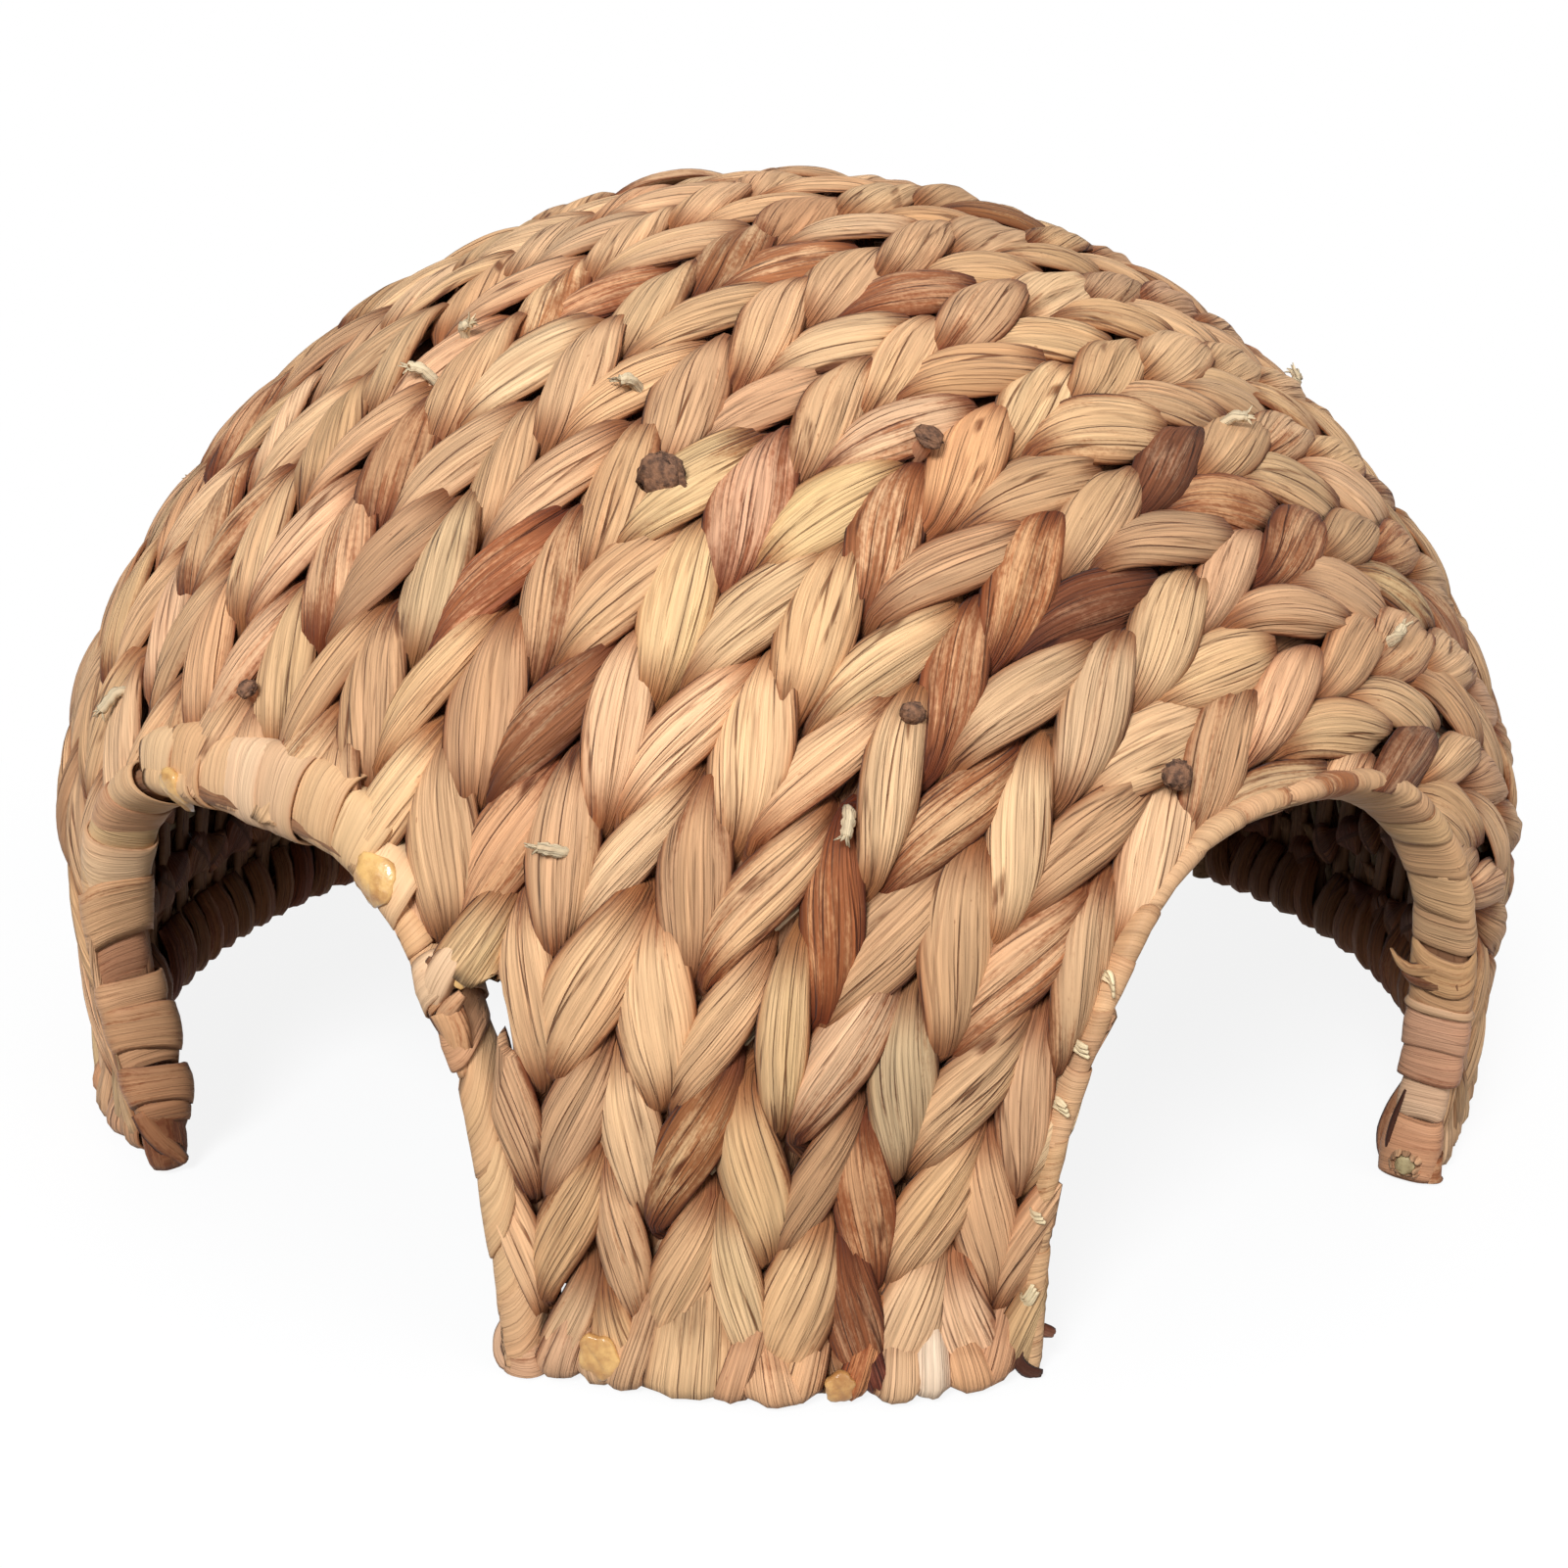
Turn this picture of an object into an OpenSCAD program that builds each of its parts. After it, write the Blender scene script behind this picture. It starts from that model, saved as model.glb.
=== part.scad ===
// Woven grass pet house: a dome of twined flat strands on four legs, with an arched opening
// between each two legs. Millimetres, +Z up, the front leg faces -Y. It stands on z = 0.
// The rows of the weave are upright slices of the dome. They run round a level pole, up from the
// ground on one side, over the dome and down on the other, and each second row slants the other way.

/* [Dome] */
// Radius of the dome at its widest, over the leaf crowns
dome_radius = 200; // [170:5:230]
// Height of the dome over the leaf crowns
dome_height = 245; // [215:5:275]
// Height up to which the wall stands upright
waist_height = 80; // [60:5:100]
// Roundness of the shoulder along the height
shoulder_rise = 1.69; // [1.5:0.01:2.2]
// Roundness of the shoulder along the radius
shoulder_round = 1.93; // [1.7:0.01:2.3]

/* [Weave] */
// Thickness of the wall, from the outer to the inner leaf crowns
wall = 14; // [11:0.5:18]
// Depth of the valleys between the leaves outside
outer_ridge = 3.2; // [1:0.1:4]
// Depth of the valleys between the leaves inside
inner_ridge = 2.4; // [1:0.1:3.5]
// Number of rows of leaves in half a turn of the dome
row_count = 50; // [40:2:50]
// Number of leaves along the longest row, over the top
leaf_count = 24; // [16:1:24]
// How far a leaf runs on past the next one, as a share of the spacing
leaf_overlap = 0.26; // [0.1:0.02:0.5]
// Bearing of the pole that the rows circle, from the front leg
pole_bearing = 48; // [40:1:52]
// Number of small see-through gaps between leaves
gap_count = 44; // [0:1:60]
// Length of a gap along the row
gap_length = 6.5; // [3:0.5:9]
// Width of a gap across the row
gap_width = 2; // [1:0.1:3]
// Length of the gap beside the left front rim
slit_length = 18; // [8:1:24]
// Width of the gap beside the left front rim
slit_width = 5; // [2:0.5:6]
// Distance of that gap from the rim's middle line
slit_aside = 11; // [9:0.5:14]
// Height of that gap as a share of the left front opening's height
slit_share = 0.67; // [0.4:0.01:0.7]

/* [Front openings] */
// Bearing of the right front opening, from the front leg
right_bearing = 36.5; // [34:0.5:40]
// Half width of the right front opening at the rim's middle line
right_half_width = 69; // [60:0.5:72]
// Height of the right front opening at the rim's middle line
right_height = 117.5; // [100:0.5:130]
// Squareness of the right front arch
right_square = 2.64; // [2:0.02:4]
// Bearing of the left front opening, from the front leg
left_bearing = 37; // [34:0.5:40]
// Half width of the left front opening at the rim's middle line
left_half_width = 67.5; // [60:0.5:72]
// Height of the left front opening at the rim's middle line
left_height = 114.5; // [100:0.5:130]
// Squareness of the left front arch
left_square = 3.4; // [2:0.1:4]
// Lean of the left front arch away from the front leg, per height
left_lean = 0.075; // [0:0.005:0.12]

/* [Back openings] */
// Bearing of both back openings, from the front leg
back_bearing = 145; // [143:0.5:148]
// Half width of the back openings at the rim's middle line
back_half_width = 57; // [50:1:62]
// Height of the back openings at the rim's middle line
back_height = 115; // [100:0.5:130]
// Squareness of the back arches
back_square = 2.8; // [2:0.1:4]

/* [Rims and frame] */
// Width of the bound rim, seen on the wall
binding_width = 6; // [5.4:0.1:8]
// How far the bound rim stands past both faces of the wall
binding_proud = 0.3; // [0.1:0.1:1]
// Length of one turn of the binding along the rim
binding_turn = 10; // [8:0.5:20]
// Depth of the groove between two turns
turn_groove = 0.35; // [0.1:0.05:0.5]
// Thickness of the arch wires in the rims
wire_thickness = 2.6; // [2:0.1:3]
// Thickness of the cane rods in the feet
rod_thickness = 4; // [3:0.1:4.4]
// Height of the rods' middle line above the ground
rod_height = 6.5; // [5:0.5:10]
// Clearance between two pieces
fit_gap = 0.3; // [0.2:0.05:0.5]

/* [Ends and glue] */
// Thickness of the strand ends that stand out of the wall
end_thickness = 4; // [3:0.1:5]
// How far the strand ends stand past the leaf crowns
end_proud = 2; // [1:0.1:3]
// How deep the strand ends sit in the wall
end_depth = 6; // [4:0.5:8]
// Radius of the glue drops
glue_radius = 5; // [3:0.1:6]
// Thickness of the glue drops
glue_thickness = 3.4; // [2:0.1:4]
// How far the glue drops stand past the leaf crowns
glue_proud = 0.5; // [0.2:0.1:2]
// Distance of the glue drops over the left arch from its rim
glue_clear = 1.5; // [1:0.1:4]

/* [Hidden] */

STRAW = [0.82, 0.64, 0.43];
BAND = [0.86, 0.72, 0.53];
WIRE = [0.55, 0.56, 0.57];
CANE = [0.62, 0.60, 0.45];
AMBER = [0.86, 0.62, 0.20];

// The dome's outline: upright to the waist, then a rounded shoulder
function radius_at(z) = z <= waist_height ? dome_radius
    : dome_radius * pow(max(0, 1 - pow((z - waist_height) / (dome_height - waist_height),
        shoulder_rise)), 1 / shoulder_round);
outline_steps = 48;
outline = concat([[dome_radius, 0]], [for (i = [0:outline_steps])
    let (w = 1 - pow(1 - i / outline_steps, 3), z = waist_height + w * (dome_height - waist_height))
    [radius_at(z), z]]);
outline_run = [for (s = 0, i = 0; i < len(outline);
    s = s + (i + 1 < len(outline) ? norm(outline[i + 1] - outline[i]) : 0), i = i + 1) s];
z_by_run = [for (i = [0:len(outline) - 1]) [outline_run[i], outline[i][1]]];
r_by_run = [for (i = [0:len(outline) - 1]) [outline_run[i], outline[i][0]]];
run_all = outline_run[len(outline) - 1];

function unit(v) = v / norm(v);
// The outline's point and outward normal, as radius and height, at a run up from the ground
function outline_at(s) = [lookup(max(s, 0), r_by_run), s < 0 ? s : lookup(s, z_by_run)];
function outline_normal(s) = let (a = outline_at(max(0, s - 1.5)), b = outline_at(min(run_all, max(0, s - 1.5) + 3)))
    unit([b[1] - a[1], a[0] - b[0]]);
// A point over the dome in direction d, sunk by depth below the leaf crowns
function sunk(d, depth) =
    let (s = asin(max(-1, min(1, d[2]))) / 90 * run_all, p = outline_at(s), n = outline_normal(s),
        h = max(norm([d[0], d[1]]), 0.000001))
    [d[0] / h * (p[0] - depth * n[0]), d[1] / h * (p[0] - depth * n[0]), p[1] - depth * n[1]];
function normal_at(d) = let (n = outline_normal(asin(max(-1, min(1, d[2]))) / 90 * run_all),
    h = max(norm([d[0], d[1]]), 0.000001)) [d[0] / h * n[0], d[1] / h * n[0], n[1]];
// The direction of the outline's point at a bearing and a height
run_by_z = [for (i = [0:len(outline) - 1]) [outline[i][1], outline_run[i]]];
function toward(bearing, z) = let (b = lookup(z, run_by_z) / run_all * 90)
    [cos(b) * sin(bearing), -cos(b) * cos(bearing), sin(b)];

// The rows: edge e is a circle round the pole, and row k lies between edges k and k + 1
pole = [sin(pole_bearing), -cos(pole_bearing), 0];
side = [-cos(pole_bearing), -sin(pole_bearing), 0];
function row_dir(theta, phi) = pole * cos(theta) + sin(theta) * (side * cos(phi) + [0, 0, sin(phi)]);
row_step = 180 / row_count;
row_phase = 0.72;
rows = row_count - 1;
function theta_at(e) = (row_phase + e) * row_step;
function whole(e) = max(3, round(leaf_count * sin(theta_at(e))));
cells = [for (e = [0:rows]) whole(e) + 2];
// Odd edges hold the lower tips of the leaves, even edges the upper ones
function phi_at(e, m) = 180 * (m - 1 + (e % 2 == 1 ? 0 : leaf_overlap)) / (cells[e] - 2);
function sums(v) = [for (s = 0, i = 0; i < len(v); s = s + v[i], i = i + 1) s];
edge_from = sums([for (c = cells) c + 1]);
edge_points = edge_from[rows] + cells[rows] + 1;
cell_from = sums([for (k = [0:rows - 1]) cells[k]]);
cell_all = cell_from[rows - 1] + cells[rows - 1];
edge_dirs = [for (e = [0:rows]) [for (m = [0:cells[e]]) row_dir(theta_at(e), phi_at(e, m))]];
function upper(k, j) = round(j * cells[k + 1] / cells[k]);
// A leaf lies along the long diagonal of its cell: from its lower tip to its upper tip
function tips(k, j) = k % 2 == 1 ? [edge_dirs[k][j], edge_dirs[k + 1][upper(k, j + 1)]]
    : [edge_dirs[k + 1][upper(k, j)], edge_dirs[k][j + 1]];
function middle(k, j) = (edge_dirs[k][j] + edge_dirs[k][j + 1]
    + edge_dirs[k + 1][upper(k, j)] + edge_dirs[k + 1][upper(k, j + 1)]) / 4;
function crown_dir(k, j, end) = unit(middle(k, j) * 0.62 + tips(k, j)[end] * 0.38);

module weave_sheet() {
    outer_edges = [for (e = [0:rows]) for (d = edge_dirs[e]) sunk(d, outer_ridge)];
    outer_crowns = [for (k = [0:rows - 1]) for (j = [0:cells[k] - 1]) for (end = [0, 1])
        sunk(crown_dir(k, j, end), 0)];
    inner_edges = [for (e = [0:rows]) for (d = edge_dirs[e]) sunk(d, e % 2 == 1 ? wall - inner_ridge : wall)];
    oc = edge_points;
    ie = oc + 2 * cell_all;
    function lo(k, j) = edge_from[k] + j;
    function up(k, j) = edge_from[k + 1] + upper(k, j);
    outer = [for (k = [0:rows - 1]) for (j = [0:cells[k] - 1])
        let (c = oc + 2 * (cell_from[k] + j), low_first = k % 2 == 1,
            a = low_first ? c : c + 1, b = low_first ? c + 1 : c,
            l0 = lo(k, j), l1 = lo(k, j + 1), u0 = up(k, j), u1 = up(k, j + 1))
        for (f = concat(
            low_first
                ? [[a, l0, l1], [a, l1, b], [b, l1, u1], [a, u0, l0], [a, b, u0]]
                : [[a, l0, l1], [a, l1, u1], [a, u1, b], [a, b, l0], [b, u0, l0]],
            [for (u = [u0:1:u1 - 1]) [b, u + 1, u]])) f];
    inner = [for (k = [0:rows - 1]) for (j = [0:cells[k] - 1])
        let (l0 = ie + lo(k, j), l1 = ie + lo(k, j + 1), u0 = ie + up(k, j), u1 = ie + up(k, j + 1))
        for (f = k % 2 == 1
            ? concat([[l0, u1, l1]], [for (u = [u0:1:u1 - 1]) [l0, u, u + 1]])
            : concat([[l0, u0, l1]], [for (u = [u0:1:u1 - 1]) [l1, u, u + 1]])) f];
    first = [for (m = [0:cells[0] - 1]) for (f = [[m, ie + m, ie + m + 1], [m, ie + m + 1, m + 1]]) f];
    last = [for (m = [edge_from[rows]:edge_from[rows] + cells[rows] - 1])
        for (f = [[m, ie + m + 1, ie + m], [m, m + 1, ie + m + 1]]) f];
    starts = [for (k = [0:rows - 1]) let (a = edge_from[k], b = edge_from[k + 1])
        for (f = [[a, ie + b, ie + a], [a, b, ie + b]]) f];
    ends = [for (k = [0:rows - 1]) let (a = edge_from[k] + cells[k], b = edge_from[k + 1] + cells[k + 1])
        for (f = [[a, ie + a, ie + b], [a, ie + b, b]]) f];
    polyhedron(points = concat(outer_edges, outer_crowns, inner_edges),
        faces = [for (f = concat(outer, inner, first, last, starts, ends)) [f[2], f[1], f[0]]],
        convexity = 10);
}

// An opening is [bearing, half width, height, squareness, lean]
front_right = [right_bearing, right_half_width, right_height, right_square, 0];
front_left = [-left_bearing, left_half_width, left_height, left_square, -left_lean];
back_right = [back_bearing, back_half_width, back_height, back_square, 0];
back_left = [-back_bearing, back_half_width, back_height, back_square, 0];
openings = [front_right, front_left, back_right, back_left];

// The arch as [across, height], from the foot at t = 0 over the top to the foot at t = 180
function arch_flat(o, t) = let (z = pow(abs(sin(t)), 2 / o[3]) * o[2])
    [-sign(cos(t)) * pow(abs(cos(t)), 2 / o[3]) * o[1] + o[4] * z, z];
// Distance of the arch from the opening's bearing at a height, on its positive side
function arch_half(o, z) = o[1] * pow(1 - pow(z / o[2], o[3]), 1 / o[3]) + o[4] * z;
// The bearing and height of a place beside the arch, away from its point at a share of its half width
function beside_arch(o, share, away) =
    let (z = o[2] * pow(1 - pow(abs(share), o[3]), 1 / o[3]),
        n = unit([sign(share) * pow(abs(share), o[3] - 1) / o[1], pow(z / o[2], o[3] - 1) / o[2]]))
    [o[0] + asin((share * o[1] + o[4] * z + n[0] * away) / (dome_radius - wall / 2)), z + n[1] * away];
function arch_point(o, t) = let (f = arch_flat(o, t), r = radius_at(f[1]) - wall / 2,
    v = sqrt(r * r - f[0] * f[0]))
    [v * sin(o[0]) + f[0] * cos(o[0]), -v * cos(o[0]) + f[0] * sin(o[0]), f[1]];
// Even steps along the arch, found on a fine trace of it
function arch_trace(o) = [for (i = [0:240]) arch_point(o, i * 0.75)];
function arch_path(o, n) = let (p = arch_trace(o),
        run = [for (s = 0, i = 0; i < len(p); s = s + (i + 1 < len(p) ? norm(p[i + 1] - p[i]) : 0), i = i + 1) s],
        all = run[len(p) - 1], t_by_run = [for (i = [0:len(p) - 1]) [run[i], i * 0.75]])
    [for (i = [0:n]) i == 0 ? arch_point(o, 0) : i == n ? arch_point(o, 180)
        : arch_point(o, lookup(all * i / n, t_by_run))];
function path_length(p) = let (v = [for (i = [1:len(p) - 1]) norm(p[i] - p[i - 1])]) v * [for (x = v) 1];
// The wall's outward normal at a point of the arch
function wall_normal(p) = let (n = outline_normal(lookup(p[2], run_by_z)), h = norm([p[0], p[1]]))
    [p[0] / h * n[0], p[1] / h * n[0], n[1]];
// One ring of a rim tube: half width a on the wall, half depth b through it
function tangent(path, i) = i == 0 ? [0, 0, 1] : i == len(path) - 1 ? [0, 0, -1]
    : unit(path[i + 1] - path[i - 1]);
function ring(path, i, a, b, sides) = let (t = tangent(path, i), n0 = wall_normal(path[i]),
        n = unit(n0 - t * (n0 * t)), w = cross(n, t))
    [for (q = [0:sides - 1]) path[i] + w * (a * cos(360 * (q + 0.5) / sides) / cos(180 / sides))
        + n * (b * sin(360 * (q + 0.5) / sides) / cos(180 / sides))];
// A closed tube through rings of equal size, and the skin between two such tubes
function skin(from, count, sides, flip) = [for (i = [0:count - 2]) for (q = [0:sides - 1])
    let (a = from + i * sides + q, b = from + i * sides + (q + 1) % sides)
    for (f = flip ? [[a, b, b + sides], [a, b + sides, a + sides]]
        : [[a, b + sides, b], [a, a + sides, b + sides]]) f];
module tube(rings) {
    sides = len(rings[0]);
    n = len(rings);
    polyhedron(points = [for (r = rings) for (p = r) p],
        faces = concat([[for (q = [0:sides - 1]) q]], skin(0, n, sides, false),
            [[for (q = [0:sides - 1]) n * sides - 1 - q]]), convexity = 8);
}

half_binding = binding_width / 2;
half_depth = wall / 2 + binding_proud;
tube_sides = 8;
core_steps = 20;
function turns(o) = max(6, round(path_length(arch_path(o, 40)) / binding_turn));

module rim_binding(o) {
    n = 2 * turns(o);
    path = arch_path(o, n);
    core = arch_path(o, core_steps);
    bore = wire_thickness / 2 + fit_gap;
    outer = [for (i = [0:n]) let (g = i % 2 == 0 ? turn_groove : 0)
        ring(path, i, half_binding - g, half_depth - g, tube_sides)];
    inner = [for (i = [0:core_steps]) ring(core, i, bore, bore, tube_sides)];
    from = (n + 1) * tube_sides;
    caps = [for (q = [0:tube_sides - 1]) let (r = (q + 1) % tube_sides)
        for (f = [[q, r, from + r], [q, from + r, from + q]]) f];
    top = n * tube_sides;
    top_in = from + core_steps * tube_sides;
    caps_end = [for (q = [0:tube_sides - 1]) let (r = (q + 1) % tube_sides)
        for (f = [[top + q, top_in + r, top + r], [top + q, top_in + q, top_in + r]]) f];
    polyhedron(points = concat([for (r = outer) for (p = r) p], [for (r = inner) for (p = r) p]),
        faces = concat(skin(0, n + 1, tube_sides, false), skin(from, core_steps + 1, tube_sides, true),
            caps, caps_end), convexity = 8);
}

wire_lift = 1;
module arch_wire(o) {
    path = arch_path(o, core_steps);
    r = wire_thickness / 2;
    lifted = [for (i = [0:core_steps]) (i == 0 || i == core_steps) ? path[i] + [0, 0, wire_lift] : path[i]];
    tube([for (i = [0:core_steps]) ring(lifted, i, r, r, tube_sides)]);
}

// The room that an opening and its bound rim take from the wall
cut_steps = 40;
cut_below = 12;
// The cut runs in straight steps, so it gets this much more than the fit
step_room = 0.15;
module opening_cut(o) {
    path = arch_path(o, cut_steps);
    n = len(path);
    room = concat([path[0] - [0, 0, cut_below]], path, [path[n - 1] - [0, 0, cut_below]]);
    reach = wall + 8;
    centre = arch_point([o[0], 1, o[2] / 3, 2, 0], 90);
    plug_out = [for (p = room) p + wall_normal(p) * reach];
    plug_in = [for (p = room) p - wall_normal(p) * reach];
    mid_out = 2 * (n + 2);
    polyhedron(points = concat(plug_out, plug_in,
            [centre + wall_normal(centre) * (reach + 12), centre - wall_normal(centre) * reach * 1.5]),
        faces = concat(
            [for (i = [0:n + 1]) let (j = (i + 1) % (n + 2)) for (f = [
                [i, n + 2 + i, n + 2 + j], [i, n + 2 + j, j],
                [i, j, mid_out], [n + 2 + j, n + 2 + i, mid_out + 1]]) f]), convexity = 6);
    tube([for (i = [0:n + 1]) ring(room, i, half_binding + fit_gap + step_room,
        half_depth + 2, tube_sides)]);
}

// The bearings at which the rods of the feet begin and end
function foot_bearing(o, s) = o[0] + s * asin(o[1] / (dome_radius - wall / 2));
rod_inset = (half_binding + 2 * fit_gap) / (dome_radius - wall / 2) * 180 / PI;
foot_spans = [
    [foot_bearing(front_left, 1) + rod_inset, foot_bearing(front_right, -1) - rod_inset],
    [foot_bearing(front_right, 1) + rod_inset, foot_bearing(back_right, -1) - rod_inset],
    [foot_bearing(back_left, 1) + rod_inset, foot_bearing(front_left, -1) - rod_inset],
    [foot_bearing(back_right, 1) + rod_inset, foot_bearing(back_left, -1) + 360 - rod_inset]];
module foot_bar(span, r, steps, sides) {
    rotate([0, 0, span[0] - 90]) rotate_extrude(angle = span[1] - span[0], $fn = steps)
        translate([dome_radius - wall / 2, rod_height]) circle(r = r, $fn = sides);
}
module base_rod(i) {
    foot_bar(foot_spans[i], rod_thickness / 2, 144, 24);
}
// The rod's tunnel is a polygon outside the rod's clearance
module rod_tunnel(span) {
    foot_bar([span[0] - 4, span[1] + 4], (rod_thickness / 2 + fit_gap) / cos(30) + 0.1, 80, 6);
}

// Some places lie at a share of the dome's height, and those over an arch at a share of the arch's
function heights(places, full) = [for (p = places) [p[0], p[1] * full]];
// Strand ends stand out of the wall at these bearings and shares
end_places = concat(
    heights([[-10, 0.755], [12, 0.78], [9, 0.6], [-15, 0.829], [-13, 0.478], [4, 0.518], [-41, 0.824],
        [-42, 0.857], [49, 0.78]], dome_height),
    heights([[26, 1.1], [52, 1.21]], right_height),
    heights([[-57, 1.13]], left_height));
// Glue holds strands beside the left rim at these shares of the arch's half width, and on the
// front foot at these shares of its width, at the height of the rod
glue_arch_shares = [0.75, -0.4];
glue_foot_shares = [0.13, 0.62];
glue_places = concat(
    [for (f = glue_arch_shares) beside_arch(front_left, f, half_binding + glue_clear + glue_radius)],
    [for (f = glue_foot_shares) [foot_spans[0][0] + f * (foot_spans[0][1] - foot_spans[0][0]), rod_height]]);

// The gap beside the left front rim leans with the rim
slit_tilt = 15;
slit_height = left_height * slit_share;
slit_across = arch_half(front_left, slit_height) + slit_aside;
slit_place = [front_left[0] + asin(slit_across / (dome_radius - wall / 2)), slit_height];

// A cut runs on past the wall by this much
cut_past = 4;
module at_wall(place) {
    d = toward(place[0], place[1]);
    n = normal_at(d);
    translate(sunk(d, 0)) rotate([0, 0, place[0] - 90]) rotate([0, 90 - asin(n[2]), 0]) children();
}
module end_pin(place, r, depth, sides) {
    at_wall(place) translate([0, 0, -depth]) cylinder(r = r, h = depth + end_proud, $fn = sides);
}
// A glue drop is a lens, the room common to two balls
module glue_lens(place, grow, sides) {
    half = glue_thickness / 2;
    r = (glue_radius * glue_radius + half * half) / (2 * half);
    at_wall(place) translate([0, 0, glue_proud - half]) intersection() {
        translate([0, 0, r - half]) sphere(r = r + grow, $fn = sides);
        translate([0, 0, half - r]) sphere(r = r + grow, $fn = sides);
    }
}

// Small gaps at the lower tips of some leaves, spread over the rows
module weave_gap(i) {
    e = 1 + 2 * ((i * 17 + 5) % floor(rows / 2));
    m = 2 + (i * 7 + 3) % max(1, cells[e] - 4);
    d = edge_dirs[e][m];
    n = normal_at(d);
    along = unit(row_dir(theta_at(e), phi_at(e, m) + 1) - d);
    t = unit(along - n * (along * n));
    w = cross(n, t);
    c = sunk(d, 0);
    multmatrix([[w[0], t[0], n[0], c[0]], [w[1], t[1], n[1], c[1]], [w[2], t[2], n[2], c[2]], [0, 0, 0, 1]])
        translate([0, 0, -wall - cut_past]) linear_extrude(height = wall + 2 * cut_past)
            polygon([[gap_width / 2, 0], [0, gap_length / 2], [-gap_width / 2, 0], [0, -gap_length / 2]]);
}

// The long gap between the left front rim and the first leaves beside it
module rim_slit() {
    at_wall(slit_place) rotate([0, 0, slit_tilt]) translate([0, 0, -wall - cut_past])
        linear_extrude(height = wall + 2 * cut_past) polygon([[slit_length / 2, 0], [0, slit_width / 2],
            [-slit_length / 2, 0], [0, -slit_width / 2]]);
}

module woven_shell() {
    color(STRAW) difference() {
        weave_sheet();
        translate([-2, -2, -1] * dome_radius) cube([4, 4, 1] * dome_radius);
        for (o = openings) opening_cut(o);
        for (s = foot_spans) rod_tunnel(s);
        for (p = end_places) end_pin(p, (end_thickness / 2 + fit_gap) / cos(22.5), end_depth + fit_gap, 8);
        for (p = glue_places) glue_lens(p, fit_gap + 0.2, 24);
        rim_slit();
        if (gap_count > 0) for (i = [0:gap_count - 1]) weave_gap(i);
    }
}

module rim_binding_front_right() { color(BAND) rim_binding(front_right); }
module rim_binding_front_left() { color(BAND) rim_binding(front_left); }
module rim_binding_back_right() { color(BAND) rim_binding(back_right); }
module rim_binding_back_left() { color(BAND) rim_binding(back_left); }
module arch_wire_front_right() { color(WIRE) arch_wire(front_right); }
module arch_wire_front_left() { color(WIRE) arch_wire(front_left); }
module arch_wire_back_right() { color(WIRE) arch_wire(back_right); }
module arch_wire_back_left() { color(WIRE) arch_wire(back_left); }
module base_rod_front() { color(CANE) base_rod(0); }
module base_rod_right() { color(CANE) base_rod(1); }
module base_rod_left() { color(CANE) base_rod(2); }
module base_rod_back() { color(CANE) base_rod(3); }
module strand_ends() { color(CANE) for (p = end_places) end_pin(p, end_thickness / 2, end_depth, 20); }
module glue_drops() { color(AMBER) for (p = glue_places) glue_lens(p, 0, 48); }

woven_shell();
rim_binding_front_right();
rim_binding_front_left();
rim_binding_back_right();
rim_binding_back_left();
arch_wire_front_right();
arch_wire_front_left();
arch_wire_back_right();
arch_wire_back_left();
base_rod_front();
base_rod_right();
base_rod_left();
base_rod_back();
strand_ends();
glue_drops();
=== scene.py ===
import math
import bpy
import numpy as np
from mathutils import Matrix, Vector


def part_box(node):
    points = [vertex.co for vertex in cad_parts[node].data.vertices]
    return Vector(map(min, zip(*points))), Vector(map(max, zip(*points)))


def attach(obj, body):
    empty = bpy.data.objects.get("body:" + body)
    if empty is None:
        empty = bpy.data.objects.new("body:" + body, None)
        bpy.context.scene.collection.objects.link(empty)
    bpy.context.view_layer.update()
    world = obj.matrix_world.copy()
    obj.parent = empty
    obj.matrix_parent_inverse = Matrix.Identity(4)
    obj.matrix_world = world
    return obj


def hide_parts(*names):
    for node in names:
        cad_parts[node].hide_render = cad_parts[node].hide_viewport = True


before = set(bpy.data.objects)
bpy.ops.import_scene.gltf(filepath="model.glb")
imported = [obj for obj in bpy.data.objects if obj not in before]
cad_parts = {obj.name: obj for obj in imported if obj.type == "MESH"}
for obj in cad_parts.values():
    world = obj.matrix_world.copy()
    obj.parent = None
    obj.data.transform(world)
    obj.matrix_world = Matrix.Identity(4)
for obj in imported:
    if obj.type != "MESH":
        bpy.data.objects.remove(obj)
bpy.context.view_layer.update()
rng = np.random.default_rng(20727)

# The dome's outline in millimetres, the same as the construction's
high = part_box("woven_shell")[1]
RAD, TOP = high[0] * 1000, high[2] * 1000
WAIST, RISE, ROUND, WALL = 80.0, 1.69, 1.93, 14.0
AXIS = WALL / 2
# The rows: step and offset in degrees, number, half a leaf's run and the usual space between rows in mm
STEP, PHASE, ROWS, PITCH, LEVEL = 3.6, 0.72, 49, 27.5, 12.57
# Bearing of the level pole that the rows turn round
POLE = np.radians(48)
P_DIR = np.array([math.sin(POLE), -math.cos(POLE), 0.0])
Q_DIR = np.array([-math.cos(POLE), -math.sin(POLE), 0.0])
UP = np.array([0.0, 0.0, 1.0])
# Lowest height that a leaf may reach
GROUND = 0.4


def unit(v):
    return v / np.maximum(np.linalg.norm(v, axis=-1, keepdims=True), 1e-9)


def run_of(path):
    """Length along a path at each of its points."""
    return np.concatenate([[0], np.cumsum(np.linalg.norm(np.diff(path, axis=0), axis=1))])


def between(s, at, values):
    """Rows of values, interpolated at s."""
    return np.stack([np.interp(s, at, values[:, i]) for i in range(3)], -1)


def eased(path):
    """Rounds a path's corners."""
    for _ in range(2):
        path[1:-1] = (path[:-2] + 2 * path[1:-1] + path[2:]) / 4
    return path


def circle(n):
    return np.arange(n) * 2 * math.pi / n


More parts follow.
